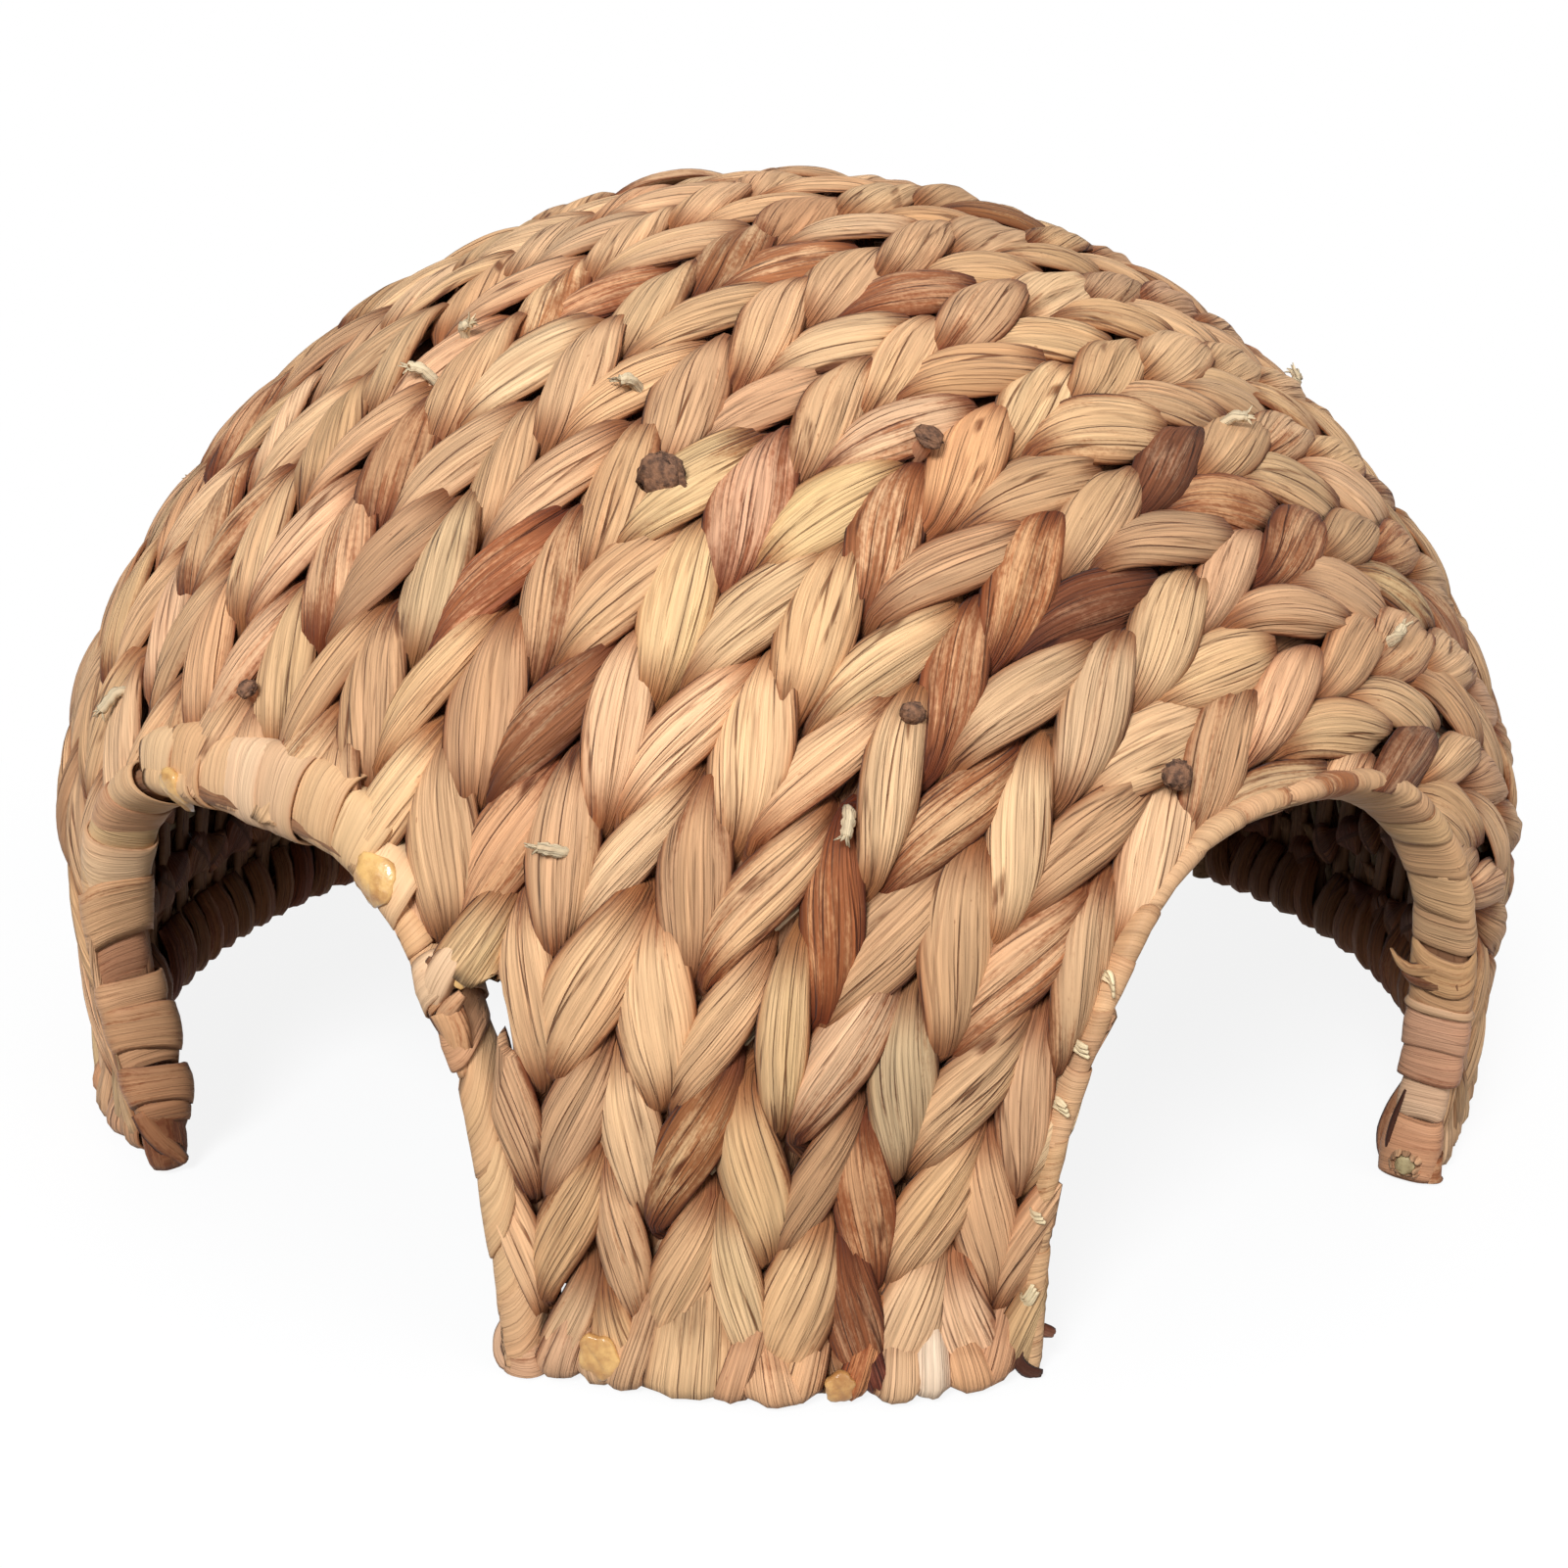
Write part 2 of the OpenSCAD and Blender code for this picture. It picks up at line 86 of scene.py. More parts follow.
def boxed(x):
    """Makes a sine or cosine's circle a little square."""
    return np.sign(x) * np.abs(x) ** 0.8


def ground(p):
    p = p.copy()
    p[..., 2] = np.maximum(p[..., 2], GROUND)
    return p


def radius_at(z):
    u = np.clip((np.asarray(z, float) - WAIST) / (TOP - WAIST), 0, 1)
    return RAD * (1 - u ** RISE) ** (1 / ROUND)


zt = np.concatenate([[0.0], WAIST + (TOP - WAIST) * (1 - (1 - np.linspace(0, 1, 500)) ** 3)])
rt = radius_at(zt)
st = np.concatenate([[0], np.cumsum(np.hypot(np.diff(zt), np.diff(rt)))])
RUN = st[-1]


def outline(s):
    return np.interp(s, st, rt), np.where(s < 0, s, np.interp(s, st, zt))


def outline_normal(s):
    a0, b0 = outline(np.clip(s - 1.5, 0, RUN - 3))
    a1, b1 = outline(np.clip(s - 1.5, 0, RUN - 3) + 3)
    n = unit(np.stack([b1 - b0, a0 - a1], -1))
    top = np.clip((s - (RUN - 3)) / 3, 0, 1)[..., None]
    return unit(n * (1 - top) + np.array([0.0, 1.0]) * top)


def on_dome(d, depth):
    """Points over the dome in directions d, sunk by depth, and their outward normals."""
    s = np.degrees(np.arcsin(np.clip(d[..., 2], -1, 1))) / 90 * RUN
    r, z = outline(s)
    n = outline_normal(s)
    h = unit(d[..., :2])
    rr = (r - depth * n[..., 0])[..., None]
    p = np.concatenate([h * rr, (z - depth * n[..., 1])[..., None]], -1)
    return p, np.concatenate([h * n[..., :1], n[..., 1:]], -1)


def row_dir(theta, phi):
    th, ph = np.radians(theta), np.radians(phi)
    return P_DIR * np.cos(th)[..., None] + np.sin(th)[..., None] * (
        Q_DIR * np.cos(ph)[..., None] + UP * np.sin(ph)[..., None])


def toward(bearing, z):
    b = np.radians(np.interp(z, zt, st) / RUN * 90)
    a = math.radians(bearing)
    return np.array([math.cos(b) * math.sin(a), -math.cos(b) * math.cos(a), math.sin(b)])


# Openings as bearing, half width, height, squareness, lean
OPEN = {
    "front_right": (36.5, 69, 117.5, 2.64, 0),
    "front_left": (-37, 67.5, 114.5, 3.4, -0.075),
    "back_right": (145, 57, 115, 2.8, 0),
    "back_left": (-145, 57, 115, 2.8, 0),
}


def local(o, p):
    b = math.radians(o[0])
    x, y = p[..., 0], p[..., 1]
    return x * math.cos(b) + y * math.sin(b), x * math.sin(b) - y * math.cos(b)


def from_local(o, u, v, z):
    b = math.radians(o[0])
    return np.stack([v * math.sin(b) + u * math.cos(b), -v * math.cos(b) + u * math.sin(b), z], -1)


def notch(o, u, z):
    """Room for the slit beside the front left rim, as a local widening of the opening."""
    at_slit = o[0] == OPEN["front_left"][0]
    return np.where((u > 0) & at_slit, np.interp(z, [56, 64, 84, 88, 91], [0, 7, 17, 17, 0]), 0.0)


def inside(o, p, grow=0.0):
    u, v = local(o, p)
    z = np.maximum(p[..., 2], 0)
    f = (np.abs(u - o[4] * z - notch(o, u, z)) / (o[1] + grow)) ** o[3] + (z / (o[2] + grow)) ** o[3]
    return np.where(v > 0, f, 9.0)


def push_out(p, grow=0.0):
    """Moves points that reach into an opening out to its edge, along the wall."""
    p = p.copy()
    for o in OPEN.values():
        f = inside(o, p, grow)
        m = f < 1
        if not m.any():
            continue
        q = p[m]
        k = np.maximum(f[m], 1e-3) ** (-1 / o[3])
        depth = radius_at(q[:, 2]) - np.hypot(q[:, 0], q[:, 1])
        u = local(o, q)[0]
        z = np.maximum(q[:, 2], 0)
        extra = notch(o, u, z)
        u2 = (u - o[4] * z - extra) * k + o[4] * z * k + extra
        z2 = np.where(q[:, 2] > 0, z * k, q[:, 2])
        r2 = radius_at(z2) - depth
        v2 = np.sqrt(np.maximum(r2 * r2 - u2 * u2, 1))
        p[m] = from_local(o, u2, v2, z2)
    return p


# Hand-made unevenness: bearing, height, reach in bearing, reach in height, push outwards in mm
SWELLS = [(72, 78, 20, 36, 3.2), (62, 0, 14, 26, -3), (-61, 0, 13, 38, -5.5), (-62, 150, 30, 45, 1.6),
          (60, 190, 25, 35, -1.2), (0, 235, 60, 25, 0.6), (-30, 120, 18, 30, 0.6), (4, 0, 16, 22, 1.2)]


def shaped(p):
    """Pushes points in or out a little, as the real dome isn't quite round."""
    az = np.degrees(np.arctan2(p[..., 0], -p[..., 1]))
    h = np.maximum(np.hypot(p[..., 0], p[..., 1]), 1e-6)
    d = np.zeros(az.shape)
    for a, z, ra, rz, push in SWELLS:
        da = (az - a + 180) % 360 - 180
        d += push * np.exp(-(da / ra) ** 2 - ((p[..., 2] - z) / rz) ** 2)
    up = np.clip(radius_at(p[..., 2]) / RAD, 0, 1)
    q = p.copy()
    q[..., :2] *= (1 + d * up / h)[..., None]
    return q


def lin(rgb):
    c = np.asarray(rgb, float) / 255
    return np.where(c <= 0.04045, c / 12.92, ((c + 0.055) / 1.055) ** 2.4)


def dyed(r, g, b, stain):
    """A piece's tint: its colour, and how stained it is."""
    return np.append(lin((r, g, b)), stain)


def dress(name, mesh, material, node):
    """Makes a visual piece of a mesh, riding on the house in the place of a node."""
    mesh.materials.append(material)
    mesh.update()
    piece = bpy.data.objects.new(name, mesh)
    bpy.context.scene.collection.objects.link(piece)
    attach(piece, "root")
    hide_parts(node)


class Heap:
    """Collects closed tubes of rings and makes them one mesh."""

    def __init__(self):
        self.data = {"place": [], "tint": [], "fibre": [], "tip": []}
        self.faces = []
        self.count = self.tris = 0

    def tube(self, rings, tint, fibre, tip, loop=False):
        """Adds rings (n, m, 3) with their fibre coordinates; tint and the painted shade value, which also
        adds to the stains, are spread over them.
        """
        n, m, _ = rings.shape
        parts = {"place": rings, "tint": np.broadcast_to(tint, (n, m, 4)), "fibre": fibre,
                 "tip": np.broadcast_to(tip, (n, m))[..., None]}
        for label, values in parts.items():
            self.data[label].append(values.reshape(n * m, -1))
        j = np.arange(m)
        k = (j + 1) % m
        i = np.arange(n if loop else n - 1)[:, None]
        a = self.count + i * m
        b = self.count + (i + 1) % n * m
        self.faces += np.stack([a + j, a + k, b + k, b + j], -1).reshape(-1, 4).tolist()
        self.tris += 2 * i.size * m
        last = self.count + (n - 1) * m
        caps = () if loop else ((0, self.count + k, self.count + j), (-1, last + j, last + k))
        self.count += n * m
        for end, one, two in caps:
            for label, values in parts.items():
                self.data[label].append(values[end].mean(0)[None])
            self.faces += np.stack([one, two, np.full(m, self.count)], -1).tolist()
            self.count += 1
            self.tris += m

    def make(self, name, material, node="woven_shell", slot="strand"):
        mesh = bpy.data.meshes.new(name)
        mesh.from_pydata((shaped(np.concatenate(self.data["place"])) * 0.001).tolist(), [], self.faces)
        for label, kind, field in (("tint", "FLOAT_COLOR", "color"), ("fibre", "FLOAT_VECTOR", "vector"),
                                   ("tip", "FLOAT", "value")):
            a = mesh.attributes.new(label, kind, "POINT")
            a.data.foreach_set(field, np.concatenate(self.data[label]).astype(np.float32).ravel())
        mesh.shade_smooth()
        dress(name, mesh, material, node)


# Materials
class Graph:
    """A node tree, and short ways to add to it."""

    def __init__(self, tree):
        self.t = tree
        tree.nodes.clear()

    def put(self, socket, value):
        if isinstance(value, bpy.types.NodeSocket):
            self.t.links.new(value, socket)
        else:
            socket.default_value = value

    def fill(self, node, **inputs):
        """Sets or links inputs by name, with _ for a space."""
        for name, value in inputs.items():
            self.put(node.inputs[name.replace("_", " ")], value)

    def node(self, kind, **inputs):
        n = self.t.nodes.new("ShaderNode" + kind)
        self.fill(n, **inputs)
        return n

    def math(self, op, a, b):
        n = self.node("Math")
        n.operation = op
        self.put(n.inputs[0], a)
        self.put(n.inputs[1], b)
        return n.outputs[0]

    def times(self, a, b):
        return self.math("MULTIPLY", a, b)

    def plus(self, a, b):
        return self.math("ADD", a, b)

    def attr(self, name):
        n = self.node("Attribute")
        n.attribute_name = name
        return n

    def scaled(self, vector, *scale):
        return self.node("Mapping", Vector=vector, Scale=scale).outputs[0]

    def noise(self, vector, scale, detail, rough):
        """scale is one number, or one for each of the three directions."""
        if isinstance(scale, tuple):
            vector, scale = self.scaled(vector, *scale), 1.0
        return self.node("TexNoise", Vector=vector, Scale=scale, Detail=detail, Roughness=rough).outputs[0]

    def cells(self, vector):
        """Distance to the nearest edge between flat cells."""
        n = self.node("TexVoronoi")
        n.voronoi_dimensions = "2D"
        n.feature = "DISTANCE_TO_EDGE"
        self.fill(n, Vector=vector, Scale=1.0)
        return n.outputs["Distance"]

    def ramp(self, value, lo, hi, a=0.0, b=1.0):
        n = self.node("MapRange", Value=value, From_Min=lo, From_Max=hi, To_Min=a, To_Max=b)
        n.interpolation_type = "SMOOTHSTEP"
        return n.outputs[0]

    def mix(self, factor, a, b, blend="MIX"):
        n = self.node("Mix")
        n.data_type = "RGBA"
        n.blend_type = blend
        self.put(n.inputs[0], factor)
        for socket, value in ((n.inputs[6], a), (n.inputs[7], b)):
            if not isinstance(value, bpy.types.NodeSocket):
                value = (*value, 1.0)
            self.put(socket, value)
        return n.outputs[2]

    def toned(self, factor, colour, by):
        """The colour, multiplied by another as far as factor says."""
        return self.mix(factor, colour, self.mix(1.0, colour, by, "MULTIPLY"))

    def bump(self, height, strength, distance):
        return self.node("Bump", Height=height, Strength=strength, Distance=distance).outputs[0]


def new_material(name):
    """A material, its graph and its surface node."""
    m = bpy.data.materials.new(name)
    m.use_nodes = True
    g = Graph(m.node_tree)
    bsdf = g.node("BsdfPrincipled")
    g.node("OutputMaterial", Surface=bsdf.outputs[0])
    return m, g, bsdf


def leaf_material(name, fine=1.0, crease=1.0, rough=0.62, grain=1.0):
    """Dried leaf: fibres along the strand, dark creases, flecks, brown stains, and painted shade towards the
    ends and edges.
    """
    m, g, bsdf = new_material(name)
    tint = g.attr("tint")
    fib = g.attr("fibre").outputs["Vector"]
    tip = g.attr("tip").outputs["Fac"]
    fibres = g.noise(fib, (2.6 * fine, 0.05, 1.0), 2.0, 0.6)
    strands = g.noise(fib, (0.5 * fine, 0.02, 1.0), 2.0, 0.5)
    where = g.noise(fib, (0.22, 0.045, 3.1), 2.0, 0.5)
    broken = g.noise(fib, (0.6, 0.035, 5.0), 3.0, 0.6)
    # Long creases, thin all along, that fade in and out
    line = g.ramp(g.cells(g.scaled(fib, 0.34 * fine, 0.012, 1.0)), 0.010, 0.045, 1.0, 0.0)
    line = g.times(line, g.ramp(broken, 0.42, 0.62, 0.1, 1.0))
    thin = g.ramp(g.cells(g.scaled(fib, 0.80 * fine, 0.022, 1.0)), 0.02, 0.10, 1.0, 0.0)
    thin = g.times(thin, g.ramp(where, 0.62, 0.42, 0.15, 0.75))
    lines = g.math("MAXIMUM", line, g.times(thin, 0.46))
    shade = g.times(g.ramp(fibres, 0.28, 0.72, 1 - 0.20 * grain, 1 + 0.15 * grain),
                    g.ramp(strands, 0.3, 0.7, 1 - 0.13 * grain, 1 + 0.09 * grain))
    grey = g.node("CombineColor", Red=shade, Green=shade, Blue=shade)
    col = g.mix(1.0, tint.outputs["Color"], grey.outputs[0], "MULTIPLY")
    # Painted shade: darker and browner as the shade value rises
    col = g.toned(g.ramp(tip, 0.15, 1.0, 0.0, 0.92), col, (0.38, 0.19, 0.09))
    # Rosy and greenish zones within a leaf
    zone = g.noise(fib, (0.12, 0.018, 4.3), 1.0, 0.5)
    col = g.toned(g.ramp(zone, 0.52, 0.75, 0.0, 0.4), col, (1.0, 0.86, 0.80))
    col = g.toned(g.ramp(zone, 0.45, 0.25, 0.0, 0.5), col, (0.97, 0.98, 0.90))
    # Brown stains that follow the fibres, more of them on some leaves; the painted shade value adds to them
    # too, so near the tips and edges they are partly painted shade
    blot = g.noise(fib, (0.26, 0.05, 1.3), 3.0, 0.62)
    streak = g.noise(fib, (1.0, 0.028, 2.1), 3.0, 0.6)
    speck = g.noise(fib, (2.4, 0.8, 1.7), 2.0, 0.6)
    amount = g.plus(tint.outputs["Alpha"], g.times(tip, 0.40))
    stained = g.plus(g.times(blot, 0.55), g.times(streak, 0.45))
    stained = g.plus(stained, g.times(g.plus(amount, -0.06), 0.34))
    stained = g.plus(stained, g.times(g.plus(speck, -0.5), 0.24))
    col = g.toned(g.times(g.ramp(stained, 0.61, 0.82), 0.88), col, (0.44, 0.22, 0.115))
    flecks = g.noise(fib, (1.6, 0.5, 2.0), 1.0, 0.4)
    flecks = g.times(g.ramp(flecks, 0.71, 0.79), g.ramp(where, 0.50, 0.66))
    col = g.toned(g.times(flecks, 0.6), col, (0.42, 0.26, 0.17))
    col = g.toned(g.times(lines, 0.92 * crease), col, (0.25, 0.125, 0.065))
    height = g.plus(g.times(fibres, 0.45), g.times(strands, 1.2))
    height = g.math("SUBTRACT", height, g.times(lines, 0.5))
    g.fill(bsdf, Base_Color=col, Roughness=g.ramp(fibres, 0.2, 0.8, rough + 0.1, rough - 0.08),
           Normal=g.bump(height, 0.95 * grain, 0.001), Specular_IOR_Level=0.22, Sheen_Weight=0.04,
           Sheen_Roughness=0.5)
    return m


def plain_material(name, colour, dark, scale, rough, bump, metal=0.0, gloss=0.0):
    m, g, bsdf = new_material(name)
    place = g.node("TexCoord").outputs["Object"]
    n = g.noise(place, scale, 4.0, 0.6)
    fine = g.noise(place, scale * 6, 2.0, 0.6)
    g.fill(bsdf, Base_Color=g.mix(g.ramp(n, 0.35, 0.68), lin(colour), lin(dark)),
           Roughness=g.ramp(fine, 0.3, 0.7, rough + 0.08, rough - 0.08),
           Normal=g.bump(g.plus(n, g.times(fine, 0.4)), bump, 0.0005), Metallic=metal, Coat_Weight=gloss)
    return m


strand_mat = leaf_material("dried_leaf")
band_mat = leaf_material("rim_leaf", 0.9, 0.4, 0.6, 0.5)
cord_mat = leaf_material("cord_end", 1.6, 0.5, 0.75)
stake_mat = leaf_material("paper_cord", 1.4, 0.3, 0.75)
wire_mat = plain_material("arch_wire", (150, 150, 148), (96, 92, 88), 260, 0.4, 0.2, 1.0)
cane_mat = plain_material("cane", (176, 158, 116), (128, 106, 72), 320, 0.5, 0.4)
glue_mat = plain_material("dried_glue", (224, 178, 110), (170, 118, 66), 160, 0.34, 0.5, 0.0, 0.3)
stub_mat = plain_material("stub_bark", (142, 100, 72), (84, 56, 40), 700, 0.75, 0.9)

# Leaf colours: share, then sRGB
PALETTE = [
    (0.26, (224, 182, 138)), (0.22, (216, 172, 128)), (0.14, (206, 160, 118)), (0.12, (232, 191, 148)),
    (0.08, (196, 150, 112)), (0.06, (206, 172, 130)), (0.05, (184, 138, 102)), (0.04, (202, 140, 96)),
    (0.03, (168, 120, 84)),
]
shares = np.array([p[0] for p in PALETTE])
colours = lin(np.array([p[1] for p in PALETTE]))


def leaf_tints(n, stain_mean=0.15):
    """n leaf colours with a stain amount in the fourth place."""
    c = colours[rng.choice(len(PALETTE), n, p=shares / shares.sum())]
    c = 0.35 * colours[1] + 0.65 * c
    c = c * rng.normal(1.0, 0.075, (n, 1)) * rng.normal(1.0, 0.024, (n, 3))
    stain = np.clip(rng.gamma(0.8, stain_mean * 1.5, (n, 1)), 0, 0.9)
    return np.clip(np.concatenate([c, stain], 1), 0, 0.98)


# Leaves of a colour of their own: bearing, height, colour, stain
ACCENTS = [
    (41, 184, (112, 62, 52), 0.9), (20, 157, (116, 64, 46), 0.9), (3, 107, (196, 118, 66), 0.85),
    (-16, 133, (150, 104, 80), 0.9), (-6, 63, (216, 166, 120), 0.75), (6, 57, (200, 126, 78), 0.6),
    (4, 12, (150, 84, 54), 0.8), (17, 222, (190, 128, 84), 0.7), (-5, 192, (214, 184, 132), 0.3),
    (-30, 175, (200, 176, 132), 0.15), (-27, 209, (206, 186, 146), 0.1), (-35, 191, (186, 128, 86), 0.7),
    (-23, 176, (182, 112, 70), 0.8), (-27, 219, (190, 120, 84), 0.7), (-2, 175, (196, 146, 122), 0.5),
    (12, 150, (196, 140, 100), 0.8), (13, 134, (206, 156, 112), 0.6), (20, 169, (190, 122, 74), 0.7),
    (46, 164, (184, 122, 84), 0.7), (44, 176, (192, 128, 86), 0.6), (48, 116, (120, 74, 56), 0.7),
    (-9, 171, (238, 206, 150), 0.05), (18, 72, (196, 180, 146), 0.2), (8, 78, (196, 178, 138), 0.2),
    (3, 187, (234, 200, 140), 0.1), (-74, 191, (186, 128, 92), 0.6), (-16, 8, (204, 172, 138), 0.1),
    (-40, 185, (186, 130, 92), 0.6), (-12, 150, (222, 176, 138), 0.1),
]

# Strands of a row: two soft leaves twined, wide over a crown and pinched where they cross
# A leaf in mm: crown above and sunk ends below the wall's middle, sway across the row, half width of its
# ends, and what its middle adds to that
CROWN, SUNK, SWAY, THIN, BROAD = 5.0, 4.0, 4.4, 2.1, 5.2
OUT_RINGS = 18
TAU = np.concatenate([np.linspace(-0.86, 0.86, OUT_RINGS + 1), [0.91, 0.96, 1.0, 1.04, 1.09]])
U_TOP = np.sin(np.linspace(-1, 1, 13) * 1.36) / math.sin(1.36)
U_LOW = np.linspace(0.72, -0.72, 5)
SECTION = np.concatenate([U_TOP, U_LOW])
IS_TOP = np.concatenate([np.ones(13, bool), np.zeros(5, bool)])


def ridge(x):
    return 2 / math.pi * np.arcsin(np.sin(x))


class Row:
    def __init__(self, k):
        self.k = k
        self.theta = (PHASE + k + 0.5) * STEP
        phi = np.linspace(-6, 186, 700)
        th = np.full_like(phi, self.theta)
        self.p, self.n = on_dome(row_dir(th, phi), AXIS)
        pa, _ = on_dome(row_dir(th - STEP / 2, phi), AXIS)
        pb, _ = on_dome(row_dir(th + STEP / 2, phi), AXIS)
        across = pb - pa
        self.space = np.linalg.norm(across, axis=1)
        side = np.cross(self.n, unit(np.gradient(self.p, axis=0)))
        self.l = unit(side * np.sign((side * across).sum(1, keepdims=True)))
        run = run_of(self.p)
        self.s = run - np.interp(0, phi, run)
        self.long = np.interp(180, phi, self.s)
        self.slant = 1.0 if k % 2 == 1 else -1.0
        self.first = (42.7 + np.clip(self.theta - 41.5, -12, 20)) % PITCH - PITCH

    def at(self, s, what):
        a = getattr(self, what)
        return np.interp(s, self.s, a) if a.ndim == 1 else between(s, self.s, a)


rows = [Row(k) for k in range(ROWS)]
# Each accent goes to the leaf whose crown is nearest
spots, keys = [], []
for row in rows:
    for half in (0, 1):
        for i in range(int((row.long + 2 * PITCH) / (2 * PITCH)) + 3):
            s = row.first + half * PITCH + 2 * PITCH * i
            if -5 < s < row.long + 5:
                spots.append(row.at(s, "p") + row.at(s, "n") * AXIS)
                keys.append((row.k, half, i))
spots = np.array(spots)
chosen = {}
for bearing, z, colour, stain in ACCENTS:
    q = on_dome(toward(bearing, z), 0)[0]
    chosen[keys[int(np.linalg.norm(spots - q, axis=1).argmin())]] = colour, stain


def by_left_toe(p):
    """How near a point is to the left leg's toe, by bearing, from 0 to 1."""
    return np.exp(-((np.degrees(np.arctan2(p[..., 0], -p[..., 1])) + 58) / 4.5) ** 2)


def strand(row, half, heap):
    """One of the two strands of a row; half is 0 or 1."""
    count = int((row.long + 2 * PITCH) / (2 * PITCH)) + 2
    n = len(TAU)
    leaf = np.repeat(np.arange(count), n)
    tau = np.tile(TAU, count)
    over = tau > 1
    leaf = leaf + over
    tau = np.where(over, tau - 2, tau)
    at = np.abs(tau)
    sg = np.sign(tau)

    def per_leaf(values):
        """A value a leaf, evened out with the next leaf's inside the wall."""
        other = np.clip(leaf + sg.astype(int), 0, count)
        w = np.clip((at - 0.75) / 0.25, 0, 1) * 0.5
        return values[leaf] * (1 - w) + values[other] * w

    def jitter(sd, cap):
        return per_leaf(np.clip(rng.normal(0, sd, count + 1), -cap, cap))

    s = row.first + half * PITCH + PITCH * (2 * leaf + tau) + jitter(1.3, 2.6)
    scale = row.at(s, "space") / LEVEL
    wide = 1 + jitter(0.13, 0.26)
    tall = jitter(0.6, 1.1)
    aside = jitter(0.6, 1.3)
    lean = 1 + jitter(0.14, 0.3)
    roll = jitter(0.10, 0.22)
    # Across the row: from one edge to the other over the crown, and back inside the wall
    side = np.where(at < 0.72, np.sin(math.pi / 2 * at / 0.72), np.cos(math.pi / 2 * (at - 0.72) / 0.28))
    dive = np.clip((at - 0.69) / 0.26, 0, 1)
    dive = dive * dive * (3 - 2 * dive)
    depth = CROWN * (1 - 0.80 * (np.minimum(at, 0.76) / 0.76) ** 2.0)
    depth = depth * (1 - dive) - SUNK * dive + tall * (1 - dive) + 0.35 * row.slant * np.minimum(at, 0.7)
    p0, n0, l0 = row.at(s, "p"), row.at(s, "n"), row.at(s, "l")
    sway = row.slant * SWAY * lean * scale * side * sg + aside * (1 - dive)
    mid = p0 + n0 * depth[:, None] + l0 * sway[:, None]
    keep = np.ones(len(tau), bool)
    for o in OPEN.values():
        keep &= inside(o, mid) > 0.90
    keep &= (mid[:, 2] > 1.5 + 8.0 * by_left_toe(mid)) & (s > -5) & (s < row.long + 5)
    tan = unit(np.gradient(mid, axis=0))
    psi = 0.55 * (np.minimum(at, 0.7) / 0.7) ** 1.6 * sg * (1 - dive) + roll * (1 - dive)
    face = n0 * np.cos(psi)[:, None] + l0 * (row.slant * np.sin(psi))[:, None]
    face = unit(face - tan * (face * tan).sum(1, keepdims=True))
    across = np.cross(tan, face)
    belly = np.clip(1 - (at / 0.88) ** 1.8, 0, 1)
    inner = 5.6 * dive * np.clip((at - 0.78) / 0.16, 0, 1)
    hw = (THIN + BROAD * belly * (1 - dive) + inner) * wide * scale
    top = 2.4 - 0.7 * belly
    droop = 0.3 + 1.1 * belly
    # Folds along the leaf
    fr = np.concatenate([rng.uniform(0.7, 2.0, 2), rng.uniform(2.4, 4.4, 2)])
    am = np.array([0.54, 0.44, 0.24, 0.18])
    ph = rng.uniform(0, 6.28, (count + 1, 4))
    u = SECTION[None, :]
    fold = sum(am[i] * ridge(math.pi * fr[i] * u + ph[leaf, i][:, None] + 0.7 * tau[:, None] * (i - 1.5))
               for i in range(4))
    # A folded-over edge on some leaves
    step_at = rng.uniform(-0.7, 0.7, count + 1)[leaf][:, None] + 0.2 * tau[:, None]
    step_by = rng.uniform(-0.5, 0.5, count + 1) * (rng.uniform(0, 1, count + 1) < 0.7)
    fold = fold + step_by[leaf][:, None] * np.clip((u - step_at) / 0.16, -0.5, 0.5)
    bulge = np.where(IS_TOP, 1 - np.abs(u) ** 3.2, -0.8 * (1 - u ** 2))
    y = top[:, None] * bulge - droop[:, None] * u ** 2
    y = y + np.where(IS_TOP, fold * (1 - u ** 6) * (0.35 + 0.65 * belly[:, None]), 0)
    ring = mid[:, None] + across[:, None] * (u * hw[:, None])[..., None] + face[:, None] * y[..., None]
    # Colours: one leaf a crown, changed where the strand is inside
    leaves = leaf_tints(count + 1)
    leaves[:, :3] = leaves[:1, :3] * 0.3 + 0.7 * leaves[:, :3]
    for i in range(count + 1):
        if (row.k, half, i) in chosen:
            colour, stain = chosen[row.k, half, i]
            share = 0.62 if sum(colour) < 330 else 0.42
            leaves[i] = np.append(leaves[i, :3] * (1 - share) + share * lin(colour), stain)
    tint = leaves[leaf]
    # Fibre coordinates in mm: round the section, along the strand, and a seed
    seed = rng.uniform(0, 500)
    au = np.where(IS_TOP, u, np.sign(u) * (2 - np.abs(u)))
    skew = rng.normal(1.2, 1.2, count + 1)[leaf][:, None] * row.slant * tau[:, None]
    fib = np.stack([au * 6.4 + skew + seed + 41.3 * leaf[:, None],
                    np.repeat(s[:, None], len(SECTION), 1) + seed * 3,
                    np.repeat((leaf * 7.3)[:, None], len(SECTION), 1)], -1)
    # Painted shade, which also adds to the stains: darker towards the ends, where the leaf dives into the
    # wall, and at its edges, which lie in the valleys between leaves
    tip = np.clip((at - 0.22) / 0.5, 0, 1)[:, None]
    tip = np.maximum(np.repeat(tip, len(SECTION), 1), 0.95 * np.abs(u) ** 4)
    # Runs between the openings
    idx = np.flatnonzero(keep)
    for part in np.split(idx, np.flatnonzero(np.diff(idx) > 1) + 1):
        if len(part) > 3:
            flat = ground(push_out(ring[part].reshape(-1, 3)))
            heap.tube(flat.reshape(-1, *ring.shape[1:]), tint[part][:, None], fib[part], tip[part])


# A new piece starts once one has this many triangles
PIECE_TRIANGLES = 130000
heaps = [Heap()]
for row in rows:
    if heaps[-1].tris > PIECE_TRIANGLES:
        heaps.append(Heap())
    for half in (0, 1):
        strand(row, half, heaps[-1])
for i, heap in enumerate(heaps):
    heap.make("woven_rows_%d" % (i + 1), strand_mat)


